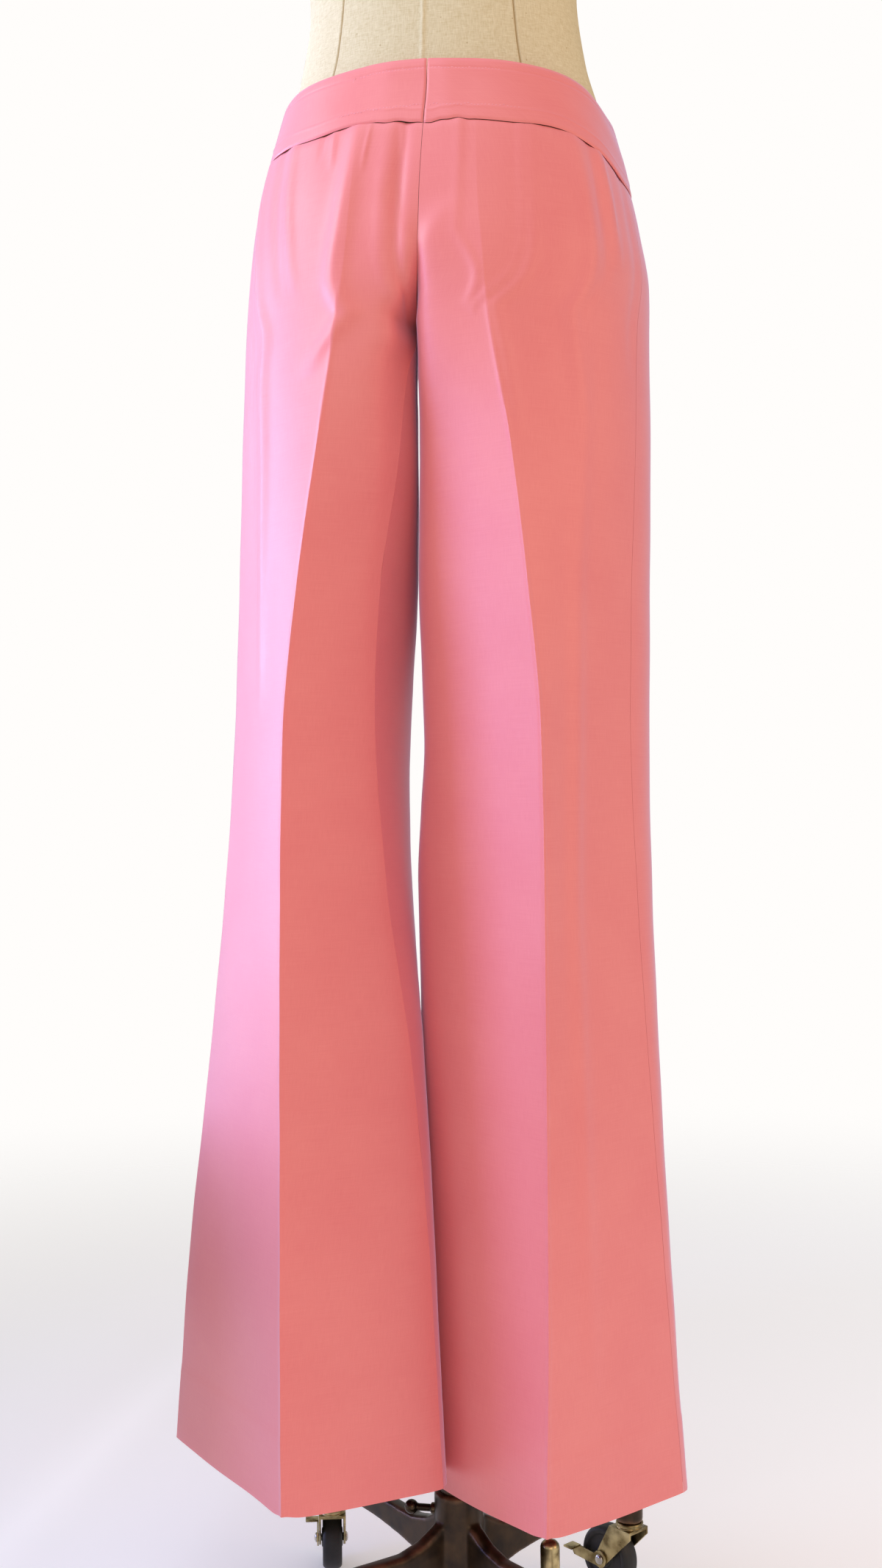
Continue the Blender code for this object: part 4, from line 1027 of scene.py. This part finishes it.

# %% [markdown]
# ## Stand finishes
#
# Worn metal has a blotched coat. Its edges are lighter, partly from rubbing and partly a painted
# highlight.

# %% Stand finishes
def worn_metal_with_edge_highlight(name, dark, light, edge_wear_and_highlight, roughness, metallic, grain):
    """Blotched metal whose edges are lighter: rubbed wear and a painted highlight. grain is per
    metre.
    """
    material, tree, shader = new_material(name, Metallic=metallic)
    spot = node(tree, "TexCoord").outputs["Object"]
    blotch = node(tree, "TexNoise", [("Vector", spot)], in_Scale=grain, in_Detail=5.0)
    spread = node(tree, "MapRange", [("Value", blotch)], in_From_Min=0.35, in_From_Max=0.65)
    coat = node(
        tree, "Mix", [("Factor", spread)], data_type="RGBA", in_A=linear(dark), in_B=linear(light)
    ).outputs["Result"]
    # Sharp edges are painted lighter: partly rubbed wear, partly a painted highlight where light
    # catches them.
    edges = node(tree, "NewGeometry").outputs["Pointiness"]
    edge = node(tree, "MapRange", [("Value", edges)], in_From_Min=0.51, in_From_Max=0.56)
    edge_wear_and_highlight_mask = node(tree, "Math", [(0, edge), (1, spread)], operation="MULTIPLY")
    both = node(tree, "Mix", [("Factor", edge_wear_and_highlight_mask), ("A", coat)], data_type="RGBA", in_B=linear(edge_wear_and_highlight))
    smoother, rougher = roughness - 0.08, roughness + 0.12
    rough = node(tree, "MapRange", [("Value", blotch)], in_To_Min=smoother, in_To_Max=rougher)
    bump = node(tree, "Bump", [("Height", blotch)], in_Strength=0.15, in_Distance=0.0005)
    tone = both.outputs["Result"]
    feed(tree, shader, [("Base Color", tone), ("Roughness", rough), ("Normal", bump)])
    return material


# Bronze paint over iron; plated brass that has dulled; turned steel; dark blackened steel.
bronze = worn_metal_with_edge_highlight("bronze_painted_iron", "#241A10", "#43321E", "#9A7458", 0.34, 0.55, 55)
brass = worn_metal_with_edge_highlight("aged_brass_plate", "#6F6140", "#A39468", "#CDBD8C", 0.28, 1.0, 90)
steel = worn_metal_with_edge_highlight("turned_steel", "#A7A39A", "#C9C6BE", "#E6E4DE", 0.24, 1.0, 160)
dark_steel = worn_metal_with_edge_highlight("blackened_steel", "#17120D", "#33291E", "#6B5A44", 0.22, 0.9, 120)
# Moulded black rubber, greyed by floor dust in blotches of 7 mm.
rubber, tree, shader = new_material("black_rubber", Roughness=0.5, Specular_IOR_Level=0.4)
spot = node(tree, "TexCoord").outputs["Object"]
dust = node(tree, "TexNoise", [("Vector", spot)], in_Scale=140.0, in_Detail=6.0)
tint = node(tree, "ValToRGB", [("Fac", dust)], ramp=("#0D0D0E", "#2C2B2A"))
feed(tree, shader, [("Base Color", tint)])
finish([base_casting, outer_tube], bronze)
finish([pedal, *caster_pieces["fork"], *caster_pieces["lever"]], brass)
finish([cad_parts["inner_rod"], *caster_pieces["axle"]], steel)
finish([lock_screw], dark_steel)
finish(caster_pieces["wheel"], rubber)

# %% [markdown]
# ## Floor and light
#
# A cool window on the left and warm room light on the right colour the two sides of every crease.

# %% Floor and light
bm = bmesh.new()
bmesh.ops.create_grid(bm, x_segments=1, y_segments=1, size=6)
floor = link(bm, "floor")
pale, tree, shader = new_material("matt_white_floor", Roughness=0.9, Base_Color=linear("#F6F6F6"))
shader.inputs["Emission Color"].default_value = linear("#FFFFFF")
shader.inputs["Emission Strength"].default_value = 0.22
# The floor fades into the white room between 0.7 m and 2.6 m from the stand.
spot = node(tree, "TexCoord").outputs["Object"]
away = node(tree, "VectorMath", [(0, spot)], operation="LENGTH").outputs["Value"]
fade = node(
    tree, "MapRange", [("Value", away)],
    interpolation_type="SMOOTHSTEP", in_From_Min=0.7, in_From_Max=2.6,
)
clear = node(tree, "BsdfTransparent")
mixed = node(tree, "MixShader", [(0, fade), (1, shader), (2, clear)])
feed(tree, tree.nodes["Material Output"], [("Surface", mixed)])
finish([floor], pale)

world = bpy.data.worlds.new("studio")
bpy.context.scene.world = world
world.use_nodes = True
tree = world.node_tree
sky = tree.nodes["Background"]
sky.inputs["Color"].default_value = linear("#FFFDFB")
seen = node(tree, "LightPath").outputs["Is Camera Ray"]
# The backdrop looks white, and lights the scene with half of that.
strength = node(tree, "Math", [(0, seen)], operation="MULTIPLY_ADD", in_1=0.5, in_2=0.5)
feed(tree, sky, [("Strength", strength)])


def softbox(name, place, aim, wide, high, watts, colour, spread=180):
    """A rectangular area light at place, turned to face aim."""
    light = bpy.data.lights.new(name, "AREA")
    light.shape, light.size, light.size_y = "RECTANGLE", wide, high
    light.energy, light.color, light.spread = watts, linear(colour)[:3], radians(spread)
    lamp = bpy.data.objects.new(name, light)
    lamp.location = place
    lamp.rotation_euler = (Vector(aim) - Vector(place)).to_track_quat("-Z", "Y").to_euler()
    bpy.context.scene.collection.objects.link(lamp)


# The windows stand where the cloth's left facets mirror them. A dark flag keeps them off the lowest
# part of the left leg.
softbox("window_left", (-2.0, 0.35, 1.00), (0, 0, 0.97), 0.9, 1.3, 4.5, "#C2C6FF", 44)
softbox("window_front", (-2.0, -0.75, 0.85), (0, 0, 0.70), 0.6, 0.8, 4.8, "#93A2FF", 80)
softbox("window_high", (-1.8, -0.75, 2.05), (0, 0, 1.16), 1.0, 0.9, 4.4, "#BACCE0", 52)
softbox("ceiling", (-0.3, -1.0, 2.7), (0, 0, 1.2), 1.4, 1.0, 3.3, "#E8E0FF", 90)
softbox("room_front", (1.0, -2.3, 1.3), (0, 0, 0.8), 1.2, 1.6, 11.4, "#FFDCC4")
softbox("room_right", (2.0, -0.4, 1.2), (0, 0, 0.8), 1.0, 1.6, 10, "#FFCFA8")
FLAG_PLACE, FLAG_SIZE = (-0.45, 0.2, 0.32), (0.24, 0.8, 1, 1)
bm = bmesh.new()
bmesh.ops.create_grid(bm, x_segments=1, y_segments=1, size=0.5)
flag_turn = Matrix.Rotation(pi / 2, 4, "Y") @ Matrix.Diagonal(FLAG_SIZE)
flag = link(moved(bm, Matrix.Translation(FLAG_PLACE) @ flag_turn), "light_flag")
flag.visible_camera = False
black_card, tree, shader = new_material(
    "black_card", Roughness=0.9, Base_Color=linear("#111111")
)
finish([flag], black_card)
bpy.context.scene.view_settings.view_transform = "Standard"
